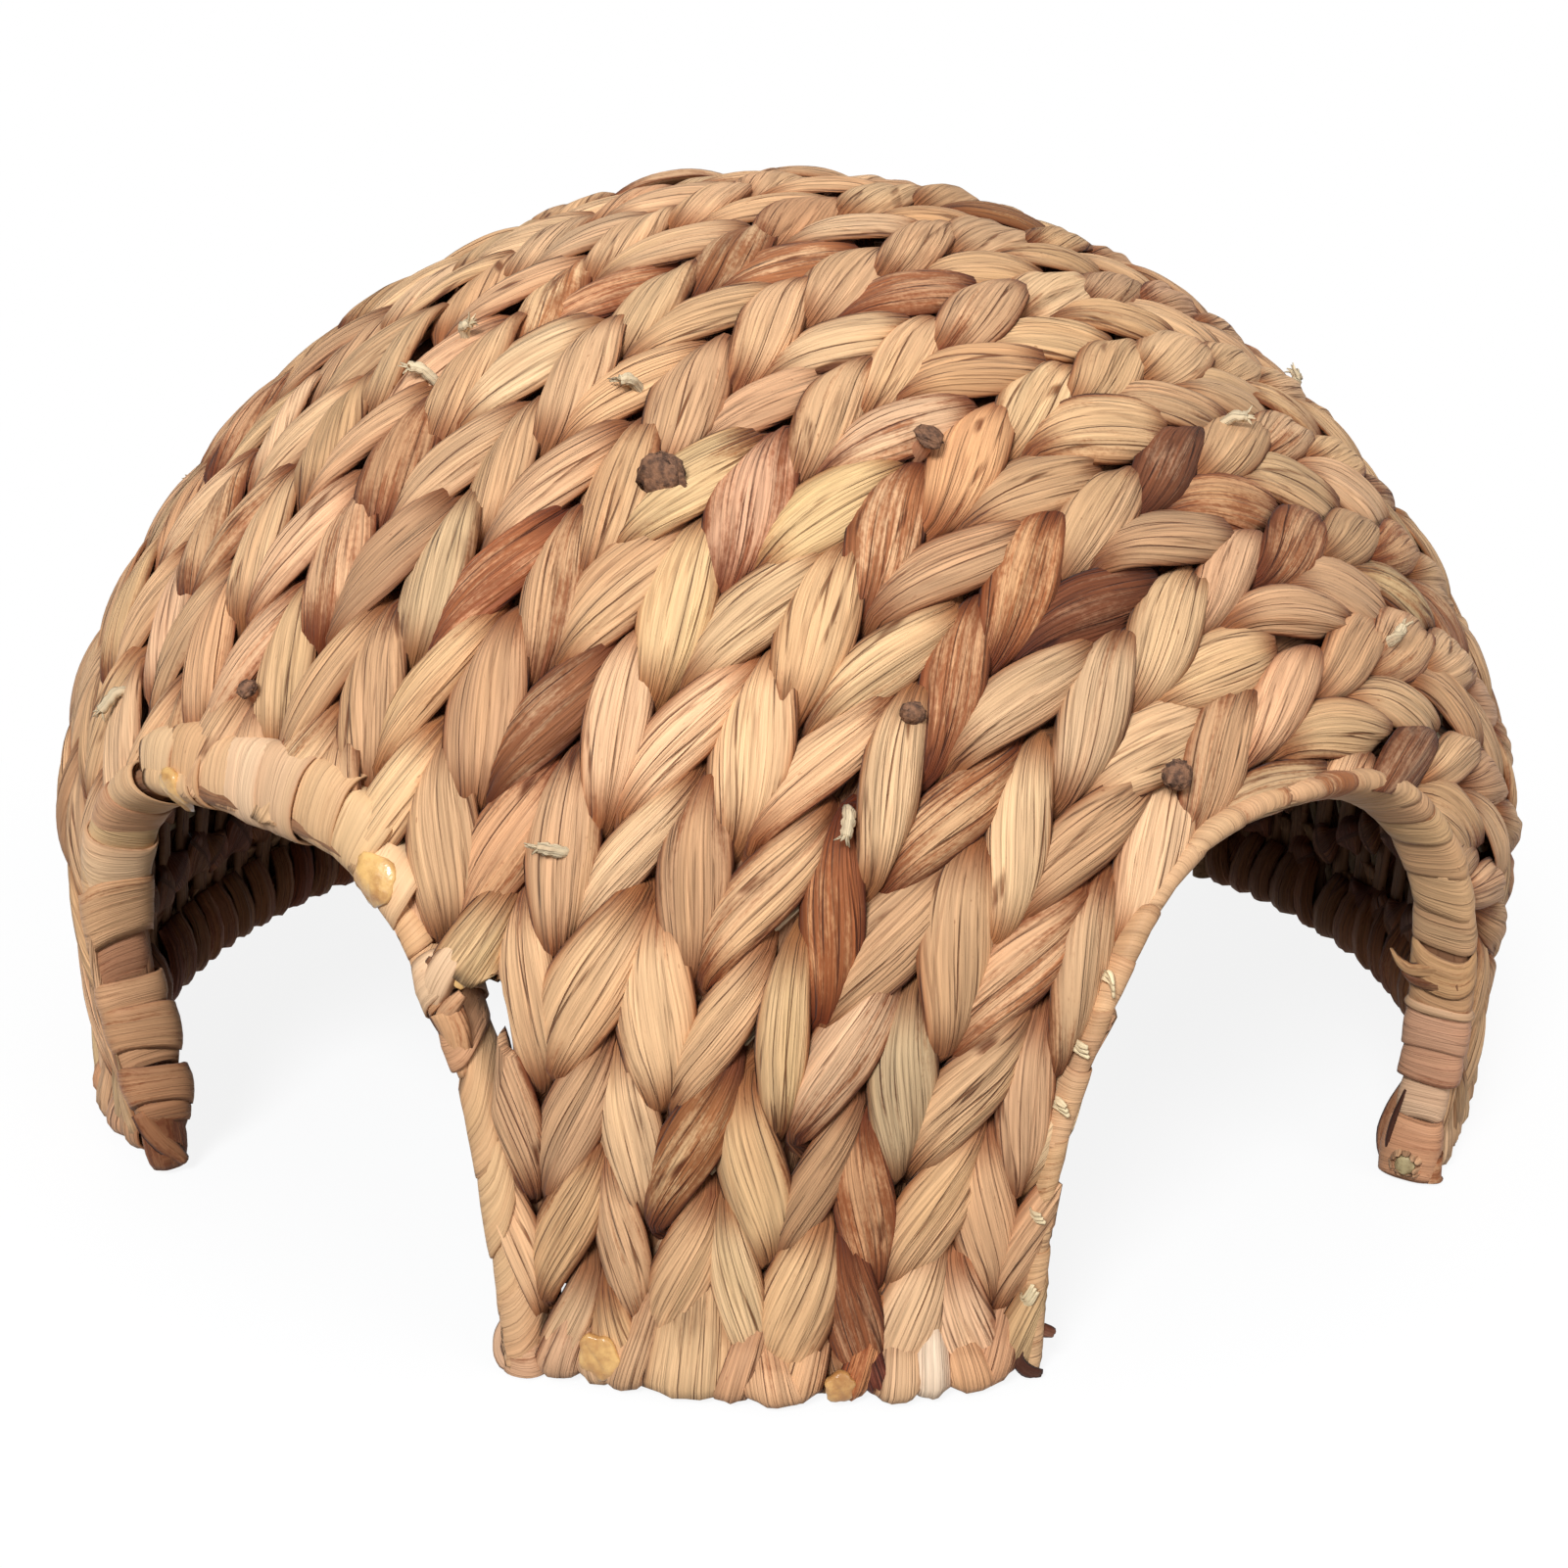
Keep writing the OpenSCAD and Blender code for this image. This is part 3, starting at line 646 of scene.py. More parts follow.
def sweep(path, radius, sides, squash, normal):
    """Rings round a path; squash is their height along the normal over their width."""
    path = np.asarray(path, float)
    tan = unit(np.gradient(path, axis=0))
    a = unit(np.cross(tan, np.broadcast_to(normal, path.shape)))
    b = np.cross(a, tan)
    al = circle(sides)
    return path[:, None] + radius * (
        a[:, None] * np.cos(al)[None, :, None] + b[:, None] * (squash * np.sin(al))[None, :, None])


def fibre_at(across, run):
    """Fibre coordinates in mm: across the leaf, along it, and a layer of its own."""
    seed = rng.uniform(0, 500)
    shape = (len(run), across.shape[-1])
    return np.stack([np.broadcast_to(across + seed, shape), np.broadcast_to(run[:, None] + seed, shape),
                     np.full(shape, seed % 9)], -1)


def put_tube(heap, rings, tint):
    m = rings.shape[1]
    size = np.linalg.norm(rings[:, 0] - rings[:, m // 2], axis=1).mean()
    fib = fibre_at(np.abs(np.linspace(-1, 1, m)) * size * 1.5, run_of(rings.mean(1)))
    # A little painted shade all over, which also adds to the stains
    heap.tube(rings, tint, fib, 0.3)


# Stakes: pale cords across the rows, under the crowns, in runs between the openings
STAKE_STEP = 32
stakes = Heap()
for m in range(-1, 30):
    run = []
    for row in rows + [None]:
        s = row.first + (m + 1.5) * PITCH if row else 0
        q = None
        if row and 3 < s < row.long - 3:
            q = row.at(s, "p")
            if any(inside(o, q) < 1.0 for o in OPEN.values()):
                q = None
            elif run and np.linalg.norm(q - run[-1][0]) > STAKE_STEP:
                q = None
        if q is not None:
            run.append((q, row.at(s, "n")))
            continue
        if len(run) > 2:
            path, normal = np.array(run).transpose(1, 0, 2)
            put_tube(stakes, sweep(path, 1.2, 6, 1.0, normal), dyed(226, 206, 172, 0.02))
        run = []

# Inner leaves behind the joints between the rows, which close most of the gaps
lining = Heap()
phi = np.linspace(2, 178, 84)
for k in range(1, ROWS):
    q, qn = on_dome(row_dir(np.full_like(phi, (PHASE + k) * STEP), phi), AXIS + 1.6)
    ok = (q[:, 2] > 3) & np.all([inside(o, q, 2.0) > 1.0 for o in OPEN.values()], axis=0)
    for run in np.split(np.arange(len(phi)), np.flatnonzero(np.diff(ok.astype(int)) != 0) + 1):
        if ok[run[0]] and len(run) > 3:
            put_tube(lining, sweep(q[run], 4.2, 6, 0.26, qn[run]), dyed(150, 108, 76, 0.3))
lining.make("inner_leaves", strand_mat)
stakes.make("stakes", stake_mat)


# Rims: a core wound with leaf bands
class Arch:
    def __init__(self, o):
        t = np.radians(np.linspace(0, 180, 400))
        z = np.abs(np.sin(t)) ** (2 / o[3]) * o[2]
        x = -np.sign(np.cos(t)) * np.abs(np.cos(t)) ** (2 / o[3]) * o[1] + o[4] * z
        r = radius_at(z) - WALL / 2
        p = from_local(o, x, np.sqrt(np.maximum(r * r - x * x, 1)), z)
        run = run_of(p)
        self.long = run[-1]
        self.s = np.linspace(0, self.long, 300)
        self.p = between(self.s, run, p)
        self.t = unit(np.gradient(self.p, axis=0))
        nn = outline_normal(np.interp(self.p[:, 2], zt, st))
        n0 = np.concatenate([unit(self.p[:, :2]) * nn[:, :1], nn[:, 1:]], -1)
        self.n = unit(n0 - self.t * (n0 * self.t).sum(1, keepdims=True))
        self.w = np.cross(self.n, self.t)

    def near(self, what, share):
        """The direction t, n or w near a share of the run."""
        return getattr(self, what)[int(share * (len(self.s) - 1))]

    def point(self, s, w, n):
        """Points at run s, w away from the opening and n out of the wall."""
        p, away, out = (between(s, self.s, a) for a in (self.p, self.w, self.n))
        return p + away * w[..., None] + out * n[..., None]

    def points(self, pts):
        """Points given as share of the run, away from the opening, out of the wall."""
        q = np.asarray(pts, float)
        return self.point(q[:, 0] * self.long, q[:, 1], q[:, 2])


def keyed(s, table, col):
    return np.interp(s, [r[0] for r in table], [r[col] for r in table])


BAND_SIDES = 28


def band(heap, arch, s0, width, a, b, tilt, tint, lift, phase, steep, thick=0.3, puff=0.25, shift=0.0,
         out=0.0):
    """A leaf wound once round the rim: half width a along the wall, half depth b through it.
    shift moves its middle away from the opening, out moves it out of the wall, and steep is the
    height of its upper edge."""
    A = circle(BAND_SIDES)[:, None]
    V = np.array([[-1, -0.75, -0.4, 0, 0.4, 0.75, 0.97, 1, 0.5, -0.5]])
    topside = np.array([1] * 7 + [0, 0, 0], bool)
    wave, wave2 = rng.uniform(0, 6.28, 2)
    s = s0 + tilt * np.sin(A + phase) + V * width / 2 * (1 + 0.07 * np.sin(2 * A + wave))
    off = 0.1 + lift + steep * V + np.where(topside, thick + puff * (1 - V ** 2), 0)
    off = off + (0.10 * np.sin(2 * A + 3 * V + wave) + 0.06 * np.sin(3 * A - 7 * V + wave2)) * topside
    wide = a * (1 + 0.05 * np.sin(A + wave2))
    p = arch.point(s, shift + boxed(np.cos(A)) * (wide + off), out + boxed(np.sin(A)) * (b + off))
    size = p.shape[:2]
    fib = np.stack([np.broadcast_to(V * width / 2, size) + wave * 40,
                    np.broadcast_to(A * (a + b) * 0.6, size) + wave * 90, np.full(size, wave * 3)], -1)
    # The last value is painted shade, which also adds to the stains: darker at the band's two edges
    heap.tube(ground(p), tint, fib, np.abs(V) ** 5 * 0.45 + 0.1, loop=True)


def core(heap, arch, table, first):
    s = np.linspace(0.5 + first * arch.long, arch.long - 0.5, 90)
    al = circle(16)
    a, b = keyed(s, table, 2) - 0.3, keyed(s, table, 3) - 0.3
    away, out = boxed(np.cos(al)) * a[:, None], boxed(np.sin(al)) * b[:, None]
    p = arch.point(np.repeat(s[:, None], len(al), 1), away, out)
    put_tube(heap, ground(p), dyed(150, 108, 78, 0.2))


# Run along the arch as a share, band width, half width on the wall, half depth through it
RIMS = {
    "front_right": [
        (0, 13, 2.3, 5.4), (0.05, 13, 2.1, 5.8), (0.3, 13, 2, 6), (0.5, 11, 2.2, 6.4),
        (0.62, 9, 2.5, 6.6), (0.72, 12, 2.9, 6.6), (0.84, 13, 3.1, 6.4), (0.92, 12, 2.7, 5.6),
        (0.96, 14, 3.2, 6.4), (1, 14, 3.6, 7)],
    "front_left": [
        (0, 12, 2.4, 4.2), (0.04, 13, 3, 5.2), (0.1, 15, 4.4, 7.4), (0.3, 15, 3.8, 7.2),
        (0.4, 14, 3.6, 7), (0.58, 14, 3.4, 6.8), (0.66, 14, 2.8, 6.4), (0.72, 14, 2.4, 5.6),
        (1, 18, 2.3, 5.4)],
    "back_right": [(0, 12, 2.7, 6.6), (1, 12, 2.7, 6.6)],
    "back_left": [(0, 12, 2.7, 6.6), (1, 12, 2.7, 6.6)],
}
# Bands of their own: share, width, half width, half depth, tilt, colour, stain, lift, phase, and for some
# of them shift and out
LOOSE = {
    "front_right": [
        (0.975, 17, 3.2, 5.6, 1, (196, 144, 108), 0.3, 0.7, 1.6, 0, -0.8),
        (0.925, 14, 2.6, 4.6, 1.5, (214, 176, 142), 0.15, 0.2, 1.6, 0, -0.3),
        (0.89, 12, 3.1, 6, 0.8, (194, 144, 112), 0.2, 0.7, 1.5),
        (0.86, 12, 3.2, 6.2, 1.2, (200, 152, 120), 0.15, 0.9, 1.2),
        (0.843, 2, 3.3, 6.5, 1.4, (200, 160, 124), 0, 0.9, 0.9),
        (0.822, 12, 3, 6, 3.2, (188, 144, 104), 0.35, 0.6, -0.7),
        (0.795, 10, 3, 6.2, 4.5, (196, 152, 108), 0.3, 0.7, -1)],
    "front_left": [
        (0.052, 7, 3.8, 5.2, 2.2, (170, 120, 84), 0.4, 0.5, -1.4, 0, -1.8),
        (0.074, 10, 4.4, 6.6, 3, (184, 134, 96), 0.35, 1, -1.2, 0, -1.8),
        (0.101, 9, 4, 6.2, 3.6, (190, 142, 104), 0.3, 0.3, -1.7, 0, -1.4),
        (0.124, 12, 4.6, 7, 3.2, (196, 148, 108), 0.3, 1.1, -1.3, 0, -1.6),
        (0.153, 10, 4.2, 6.8, 2.6, (202, 154, 114), 0.15, 0.6, -1.8, 0, -0.6),
        (0.182, 13, 3.2, 5.4, 3.5, (172, 122, 90), 0.35, 0.1, -2, 0, 0.5),
        (0.228, 16, 4, 6.9, 4.6, (210, 164, 122), 0.2, 0.9, -1.9),
        (0.28, 14, 4, 6.7, 1, (222, 184, 144), 0.05, 0.9, 1.5),
        (0.325, 13, 3.8, 6.9, 1.6, (204, 156, 118), 0.2, 0.5, -1.4),
        (0.368, 15, 3.8, 6.8, 2.2, (220, 178, 134), 0.1, 0.8, -1.8),
        (0.41, 13, 7.5, 6.4, 1.4, (224, 184, 140), 0.05, 0.2, -1, 4.6),
        (0.445, 13, 8, 6.3, 1.8, (212, 166, 122), 0.15, 0.4, -1, 5),
        (0.478, 12, 8, 6.2, 1.2, (222, 178, 134), 0.1, 0.1, -1, 5.4),
        (0.508, 12, 8.4, 6.3, 1.6, (228, 190, 152), 0.05, 0.5, -0.8, 5.6),
        (0.54, 14, 8.6, 6.2, 1, (212, 172, 134), 0.05, 0.8, -0.6, 5.8),
        (0.574, 14, 8.4, 6.2, 1.2, (214, 172, 128), 0.1, 0.4, -0.6, 5.6),
        (0.606, 13, 7.6, 6.2, 1.8, (220, 180, 134), 0.1, 0.2, -0.6, 4.8),
        (0.64, 15, 5.4, 6.2, 2.6, (226, 184, 140), 0.05, 0.7, -0.8, 2.8),
        (0.672, 12, 3, 5.8, 2, (216, 168, 122), 0.1, 0.2, -0.6, 0.5),
        (0.7, 15, 2.8, 5.5, 3, (214, 166, 122), 0.15, 0.5, -0.6),
        (0.722, 8, 3.6, 5.8, -3.5, (222, 184, 146), 0.05, 1.2, 0.6, 0.6),
        (0.745, 10, 3.2, 5.6, 4, (198, 148, 110), 0.3, 0.5, -0.4, 0.2),
        (0.792, 20, 3.5, 5.6, 9.5, (214, 170, 126), 0.1, 0.4, -0.8, -0.2),
        (0.842, 21, 3.1, 5.4, 10.5, (222, 180, 134), 0.05, 1, -0.8),
        (0.897, 20, 3.3, 5.5, 9, (216, 174, 130), 0.05, 0.4, -0.8),
        (0.95, 20, 3.1, 5.4, 5, (212, 168, 126), 0.1, 1, -0.8),
        (0.988, 9, 3.6, 5.8, 1.5, (206, 160, 124), 0.2, 0.9, 0.6, 0.4)],
}


def strip(heap, path, width, face, tint, thick=0.5, cup=0.0):
    """A flat leaf along a path; face is the direction it looks in, cup bends its edges back."""
    path = np.asarray(path, float)
    t = np.linspace(0, 1, len(path))
    fine = np.linspace(0, 1, 3 * len(path))
    width = np.interp(fine, np.linspace(0, 1, len(width)), width)[:, None]
    path = eased(between(fine, t, path))
    tan = unit(np.gradient(path, axis=0))
    face = unit(face - tan * (face * tan).sum(1, keepdims=True))
    across = np.cross(tan, face)
    u = np.array([-1, -0.66, -0.33, 0, 0.33, 0.66, 1, 0.5, -0.5])
    wave = rng.uniform(0, 6)
    y = np.where(np.arange(9) < 7, thick * (1 - u ** 4) + 0.18 * thick * np.sin(7 * u + wave), -thick * 0.5)
    y = (y - cup * u ** 2)[None, :, None]
    p = path[:, None] + across[:, None] * (u * width / 2)[..., None] + face[:, None] * y
    # The last value is painted shade, which also adds to the stains: darker at the strip's edges
    heap.tube(ground(p), tint, fibre_at(u * width / 2, run_of(path)), 0.25 + 0.4 * np.abs(u) ** 4)


def lay(heap, arch, leaves):
    """Lays leaves on a rim: their points on the arch, widths, face, tint and, for some, thickness and cup."""
    for points, widths, face, tint, *rest in leaves:
        strip(heap, arch.points(points), widths, face, dyed(*tint), *rest)


def nib(heap, arch, share, size, lean):
    """A short cream leaf end that sticks out between the rim and the first leaves."""
    for k in range(3):
        d = (k - 1) * 0.6
        q = [(share + 0.004 * d, 3.4, 5.0), (share + 0.004 * d, 2.8 + d, 7.0),
             (share + lean * 0.02 + 0.006 * d, 1.6 + 1.3 * d, 7.6 + 0.3 * k)]
        look = arch.near("n", share)
        lay(heap, arch, [(q, [size * 0.5, size * 0.6, size * 0.35], look, (232, 212, 172, 0.05), 0.3)])


# The cut rod end, as share of the right arch's run, away from the opening and out of the wall
ROD_END = (0.984, -5.6, -0.6)


def right_rim_details(h, arch):
    """The loose curl, the tucked fold and the frayed leaf round the cut rod end of the right leg, the cream
    nibs, and the dark fold of the front foot's corner.
    """
    look = -arch.near("w", 0.955)
    lay(h, arch, [
        # Curl that stands into the opening
        ([(0.8, -3.4, 3.5), (0.802, -4.6, -2), (0.806, -5, -6.5), (0.8, -4.6, -9.8), (0.792, -3.2, -12)],
         [5, 4.6, 3.6, 2.2, 0.6], look, (184, 142, 100, 0.25), 0.35, 0.6),
        ([(0.812, -3.8, 5), (0.815, -4.8, -1), (0.816, -4.8, -5.5), (0.809, -4.4, -8.6)],
         [4.4, 4, 2.6, 0.8], look, (132, 92, 62, 0.5), 0.3, 0.3),
        # Fold that runs down the inner side of the toe
        ([(0.915, -0.5, -4.6), (0.94, -1, -6.8), (0.965, -1.2, -7.8), (0.985, -1, -7), (0.998, -0.6, -4.6)],
         [2.4, 3.8, 4.6, 4.4, 3.6], look, (164, 116, 84, 0.4), 0.6, 0.5),
        ([(0.92, -3.2, -4.2), (0.945, -4, -5.6), (0.97, -4, -6.2), (0.99, -3.2, -5)],
         [0.8, 1.5, 1.5, 0.8], look, (84, 54, 40, 0.7), 0.4)])
    # Frayed leaf round the rod end
    c = arch.points([ROD_END])[0]
    up, out = -arch.near("t", 0.988), arch.near("n", 0.988)
    for a in np.linspace(0, 2 * math.pi, 12)[:-1] + rng.uniform(-0.2, 0.2, 11):
        r = rng.uniform(2.6, 3.5)
        d = math.cos(a) * up + math.sin(a) * out
        e = -math.sin(a) * up + math.cos(a) * out
        frayed = [c + d * (r + 0.9) - look * 1.6, c + d * r + look * rng.uniform(0.2, 0.7),
                  c + d * (r - 0.3) + e * rng.uniform(-0.8, 0.8) + look * rng.uniform(0.7, 1.4)]
        widths = [2.6, 2.2, rng.uniform(0.5, 1.5)]
        tint = np.append(lin((200, 158, 120)) * rng.uniform(0.55, 1.1), 0.15)
        strip(h, frayed, widths, d + look, tint, 0.3)
    for share in (0.062, 0.125, 0.205, 0.245, 0.292):
        nib(h, arch, share, rng.uniform(2.2, 3.2), rng.uniform(-0.6, 0.6))
    # Dark fold and small nib of the front foot's corner
    corner = arch.near("n", 0.012)
    lay(h, arch, [
        ([(0.03, 3, 6.4), (0.018, 4.5, 6.6), (0.008, 2, 6.8), (0.003, -1.5, 6.2)],
         [1.8, 2.8, 3.2, 2.4], corner, (96, 62, 46, 0.7), 0.4),
        ([(0.034, -2, 4.6), (0.032, -3.6, 4.8), (0.03, -4.6, 4.6)],
         [3.4, 3, 2.4], corner, (128, 86, 66, 0.5), 0.6)])


def left_rim_details(h, arch):
    """The knot where a strand starts down the left rim, and the folds of the rim's two toes."""
    face = arch.near("n", 0.72)
    lay(h, arch, [
        ([(0.733, -3, 4.4), (0.727, -1.6, 6.6), (0.718, 2, 7.8), (0.709, 6.5, 7.8), (0.702, 10.5, 6)],
         [3.6, 6, 7.6, 7, 4.5], face, (226, 188, 150, 0.1), 0.7, 0.9),
        ([(0.741, -2.6, 4.6), (0.737, 0.6, 6.6), (0.732, 4.2, 7.2), (0.728, 7, 6.4)],
         [2.6, 4.2, 4, 2.4], face, (206, 160, 120, 0.3), 0.6, 0.6),
        ([(0.712, -2.4, 6), (0.709, 0.5, 7), (0.703, 4, 7.2)],
         [1.8, 2.6, 1.6], face, (120, 82, 56, 0.5), 0.2),
        ([(0.735, 1.5, 6.6), (0.748, 1.8, 6.6), (0.762, 0.4, 6), (0.78, -0.6, 5.6)],
         [9, 8, 6.5, 3], face, (212, 162, 118, 0.25), 0.8, 0.8)])
    # The dark tucked toe of the left leg, drawn in to the ground
    share = np.array([0.098, 0.085, 0.070, 0.055, 0.042, 0.030, 0.019, 0.010, 0.004])[:, None]
    a = np.array([3.2, 3.8, 4.2, 4.5, 4.5, 4.3, 4.0, 3.4, 2.6])[:, None]
    b = np.array([3.4, 4.4, 5.2, 5.6, 5.8, 5.7, 5.3, 4.6, 3.6])[:, None]
    al = circle(20)
    dent = 1 + 0.07 * np.sin(2 * al + 28 * share) + 0.05 * np.sin(5 * al - 40 * share)
    away, out = np.cos(al) * a * dent, np.sin(al) * b * dent - 0.6
    q = arch.point(np.repeat(share * arch.long, len(al), 1), away, out)
    put_tube(h, ground(q), dyed(146, 98, 66, 0.5))
    toe = arch.near("n", 0.993)
    lay(h, arch, [
        ([(0.06, -4, 4.6), (0.044, -4.9, 3), (0.03, -4.9, 0.4), (0.018, -4.4, -2.4), (0.008, -3.4, -4.4)],
         [4.4, 5.4, 5.6, 4.8, 3], -arch.near("w", 0.035), (156, 106, 72, 0.4), 0.3, 0.9),
        ([(0.962, -2.8, 4.6), (0.974, -4.6, 4.8), (0.988, -4.9, 5), (0.998, -2.8, 5.4), (0.998, 2, 5.8)],
         [2, 3.2, 4, 4.4, 4], toe, (214, 172, 138, 0.1), 0.9, 0.5),
        ([(0.966, -1.6, 5.4), (0.98, -3, 6), (0.99, -2.4, 6.2)],
         [1.4, 2.2, 1.2], toe, (120, 92, 72, 0.4), 0.3)])


arches = {}
for name, o in OPEN.items():
    arch = arches[name] = Arch(o)
    table = [(r[0] * arch.long,) + r[1:] for r in RIMS[name]]
    own_bands = LOOSE.get(name, [])
    h = Heap()
    first = 0.07 if name == "front_left" else 0.0
    core(h, arch, table, first)
    base = leaf_tints(1, 0.1)[0]
    s = 1.0 + first * arch.long
    while s < arch.long - 1:
        w = keyed(s, table, 1) * rng.uniform(0.8, 1.25)
        c = leaf_tints(1, 0.16)[0]
        c[:3] = 0.5 * c[:3] + 0.47 * base[:3]
        mid = s + w / 2
        if not any(abs(mid - q[0] * arch.long) < q[1] * 0.36 for q in own_bands):
            a = keyed(mid, table, 2) * rng.uniform(0.95, 1.06)
            b = keyed(mid, table, 3) * rng.uniform(0.98, 1.03)
            tilt, lift = rng.uniform(1.0, 2.6), rng.uniform(0, 0.3)
            phase, steep = rng.uniform(-0.9, 0.1), rng.uniform(0.15, 0.45)
            band(h, arch, mid, w * 1.3, a, b, tilt, c, lift, phase, steep)
        s += w
    for share, w, a, b, tilt, colour, stain, lift, phase, *moved in own_bands:
        shift, out = (*moved, 0, 0)[:2]
        band(h, arch, share * arch.long, w * 1.1, a, b, tilt, dyed(*colour, stain), lift, phase, 0.45, 0.4,
             0.8 if out else 0.4, shift, out)
    if name == "front_right":
        right_rim_details(h, arch)
    if name == "front_left":
        left_rim_details(h, arch)
    h.make("bound_rim_" + name, band_mat, "rim_binding_" + name, "binding")


# Feet: strands folded under the cane rod
def foot_span(first, last, turn=0):
    """The bearings between two openings, anticlockwise seen from above."""
    reach = [math.degrees(math.asin(OPEN[n][1] / (RAD - WALL / 2))) for n in (first, last)]
    return OPEN[first][0] + reach[0], OPEN[last][0] + turn - reach[1]


def foot_band(heap, bearing, half, tint, lean, high, swell, fold, rise, knee):
    """A strand folded under at the ground; knee scales the height at which it comes out."""
    top = 13.5 * knee
    high = max(high, top + 6)
    prof = np.array([(-7.5, high), (-5.6, (high + top) / 2), (-4.0, top), (-1.7, 10.0 * knee),
                     (-0.1, 3.2 + 3.2 * knee), (-0.3, 3), (-2.4, 1.1),
                     (-7, 0.9), (-10.4, 1.4), (-12.6, 4.2), (-13.6, 10), (-12.4, 17), (-9.2, 23)])
    k = np.linspace(0, len(prof) - 1, 26)
    r, z = (np.interp(k, range(len(prof)), prof[:, i]) for i in (0, 1))
    r = r + swell * np.exp(-((z - 3.5) / 6.0) ** 2) * (k < 7)
    z = z + rise
    taper = np.interp(k, [0, 2, 4, 5, 9, 12], [0.6, 0.8, 1.0, 1.05, 0.95, 0.7])
    u = np.array([-1, -0.8, -0.55, -0.28, 0, 0.28, 0.55, 0.8, 1, 0.5, -0.5])
    dr, dz = np.gradient(r), np.gradient(z)
    ln = np.hypot(dr, dz)
    fr, ph = rng.uniform(2, 4), rng.uniform(0, 6)
    y = 1.7 - 3.3 * u ** 2 + 0.8 * u ** 6 + fold * np.sin(fr * 3.14 * u + ph)
    y = np.where(np.arange(11) < 9, y, -0.9)
    rr = RAD - 1.2 + r[:, None] - (dz / ln)[:, None] * y
    zz = z[:, None] + (dr / ln)[:, None] * y
    a = math.radians(bearing) + (u * (half * taper)[:, None] + lean * (z[:, None] - 8) * 0.35) / RAD
    p = np.stack([rr * np.sin(a), -rr * np.cos(a), np.maximum(zz, 0.35)], -1)
    p = push_out(p.reshape(-1, 3), 1.5).reshape(p.shape)
    fib = fibre_at(u * half, np.concatenate([[0], np.cumsum(ln[1:])]))
    # Painted shade, which also adds to the stains: darker at the edges, on the part folded in under the dome,
    # and at the top, which runs in under the leaves above
    tip = np.maximum(np.abs(u) ** 3 * 0.9, 0.85 * (k[:, None] > 8) + 0.4 * (k[:, None] < 3.5))
    heap.tube(p, tint, fib, tip)


# The front foot's bands: bearing, half width, colour, stain, lean, height, swell, knee
FRONT_FOOT = [
    (-13.6, 5, (204, 160, 124), 0.1, 0.9, 30, 1, 1.3), (-12, 3.6, (212, 170, 130), 0.15, -0.9, 32, 1.2, 0.8),
    (-9.3, 4.8, (206, 162, 122), 0.15, 0.9, 36, 2.2, 1.6),
    (-5.7, 8.6, (214, 174, 130), 0.1, 0.2, 36, 3.4, 2.1),
    (-2.6, 4.8, (196, 148, 110), 0.2, 1, 30, 3.6, 1.5), (-0.9, 6, (214, 166, 124), 0.15, -0.9, 26, 5, 0.9),
    (1.2, 4.4, (206, 158, 116), 0.25, 0.9, 30, 3.4, 1.4), (4.6, 3.4, (204, 138, 92), 0.55, 1.1, 26, 2.6, 1.6),
    (5.6, 4, (118, 62, 44), 0.6, -1.1, 24, 3, 0.9), (7, 4.4, (212, 170, 130), 0.1, 0.5, 26, 5, 1.2),
    (8.9, 3.6, (226, 200, 172), 0.05, 0.2, 28, 4.2, 1.7), (11, 5.2, (206, 158, 116), 0.2, -0.7, 30, 3.6, 1),
    (13.2, 4.6, (196, 146, 108), 0.25, 1.2, 26, 2, 1.3),
]
feet = Heap()
for bearing, half, colour, stain, lean, tall, swell, knee in FRONT_FOOT:
    foot_band(feet, bearing, half * 1.16, dyed(*colour, stain), lean, tall, swell, 0.22, 0.0, knee)
for span in (foot_span("front_right", "back_right"), foot_span("back_left", "front_left"),
             foot_span("back_right", "back_left", 360)):
    gap = math.degrees(3.6 / RAD)
    b, end = span[0] + gap, span[1] - gap * 0.4
    while b < end:
        half = rng.uniform(5.6, 8.4)
        b += math.degrees(half * 0.86 / RAD)
        if b > end:
            break
        # The bands draw up towards the left toe
        near = math.exp(-((b + 57) / 5) ** 2)
        foot_band(feet, b, half, leaf_tints(1, 0.14)[0], rng.uniform(-0.8, 0.8), rng.uniform(22, 34),
                  rng.uniform(0.5, 3.0) * (1 - near), 0.25, 7.0 * near, rng.uniform(0.8, 1.7))
        b += math.degrees(half * 0.86 / RAD)
feet.make("foot_bands", strand_mat)


# Strand ends: brown stems with rough heads, and short cream cords with frayed ends
def surface(bearing, z, depth):
    p, n = on_dome(toward(bearing, z), depth)
    right = unit(np.cross(UP, n))
    return p, n, right, np.cross(n, right)


def spike(heap, path, radii, tint, sides=10, rough=0.05, twist=0.0):
    """A round piece along a path, with a rough skin and, if twisted, two plies."""
    path = np.asarray(path, float)
    fine = np.linspace(0, 1, 4 * len(path))
    q = eased(between(fine, np.linspace(0, 1, len(path)), path))
    r = np.interp(fine, np.linspace(0, 1, len(radii)), radii)
    rings = sweep(q, 1.0, sides, 1.0, np.array([0.31, 0.22, 0.92]))
    k = 1 + rough * rng.normal(0, 1, (len(q), sides)).clip(-1.5, 1.5)
    if twist:
        k = k * (0.8 + 0.3 * np.abs(np.cos(circle(sides) - twist * run_of(q)[:, None])))
    put_tube(heap, ground(q[:, None] + (rings - q[:, None]) * (r[:, None] * k)[..., None]), tint)


def stem(stems, heads, bearing, z, size, lean, long, broad):
    p, n, right, up = surface(bearing, z, 5.0)
    d = unit(n + lean[0] * right + lean[1] * up)
    e = p + d * (5.0 + long)
    spike(stems, [p, p + d * (5.0 + long * 0.6), e], [size, size, size * 1.05], dyed(176, 124, 92, 0.3))
    spike(heads, [e - d * 1.4, e - d * 0.8, e + d * 0.2, e + d * 0.9, e + d * 1.1],
          [size * 0.8, size * broad, size * (broad + 0.1), size * broad * 0.8, size * 0.5],
          dyed(132, 92, 66, 0.6), 14, 0.16)


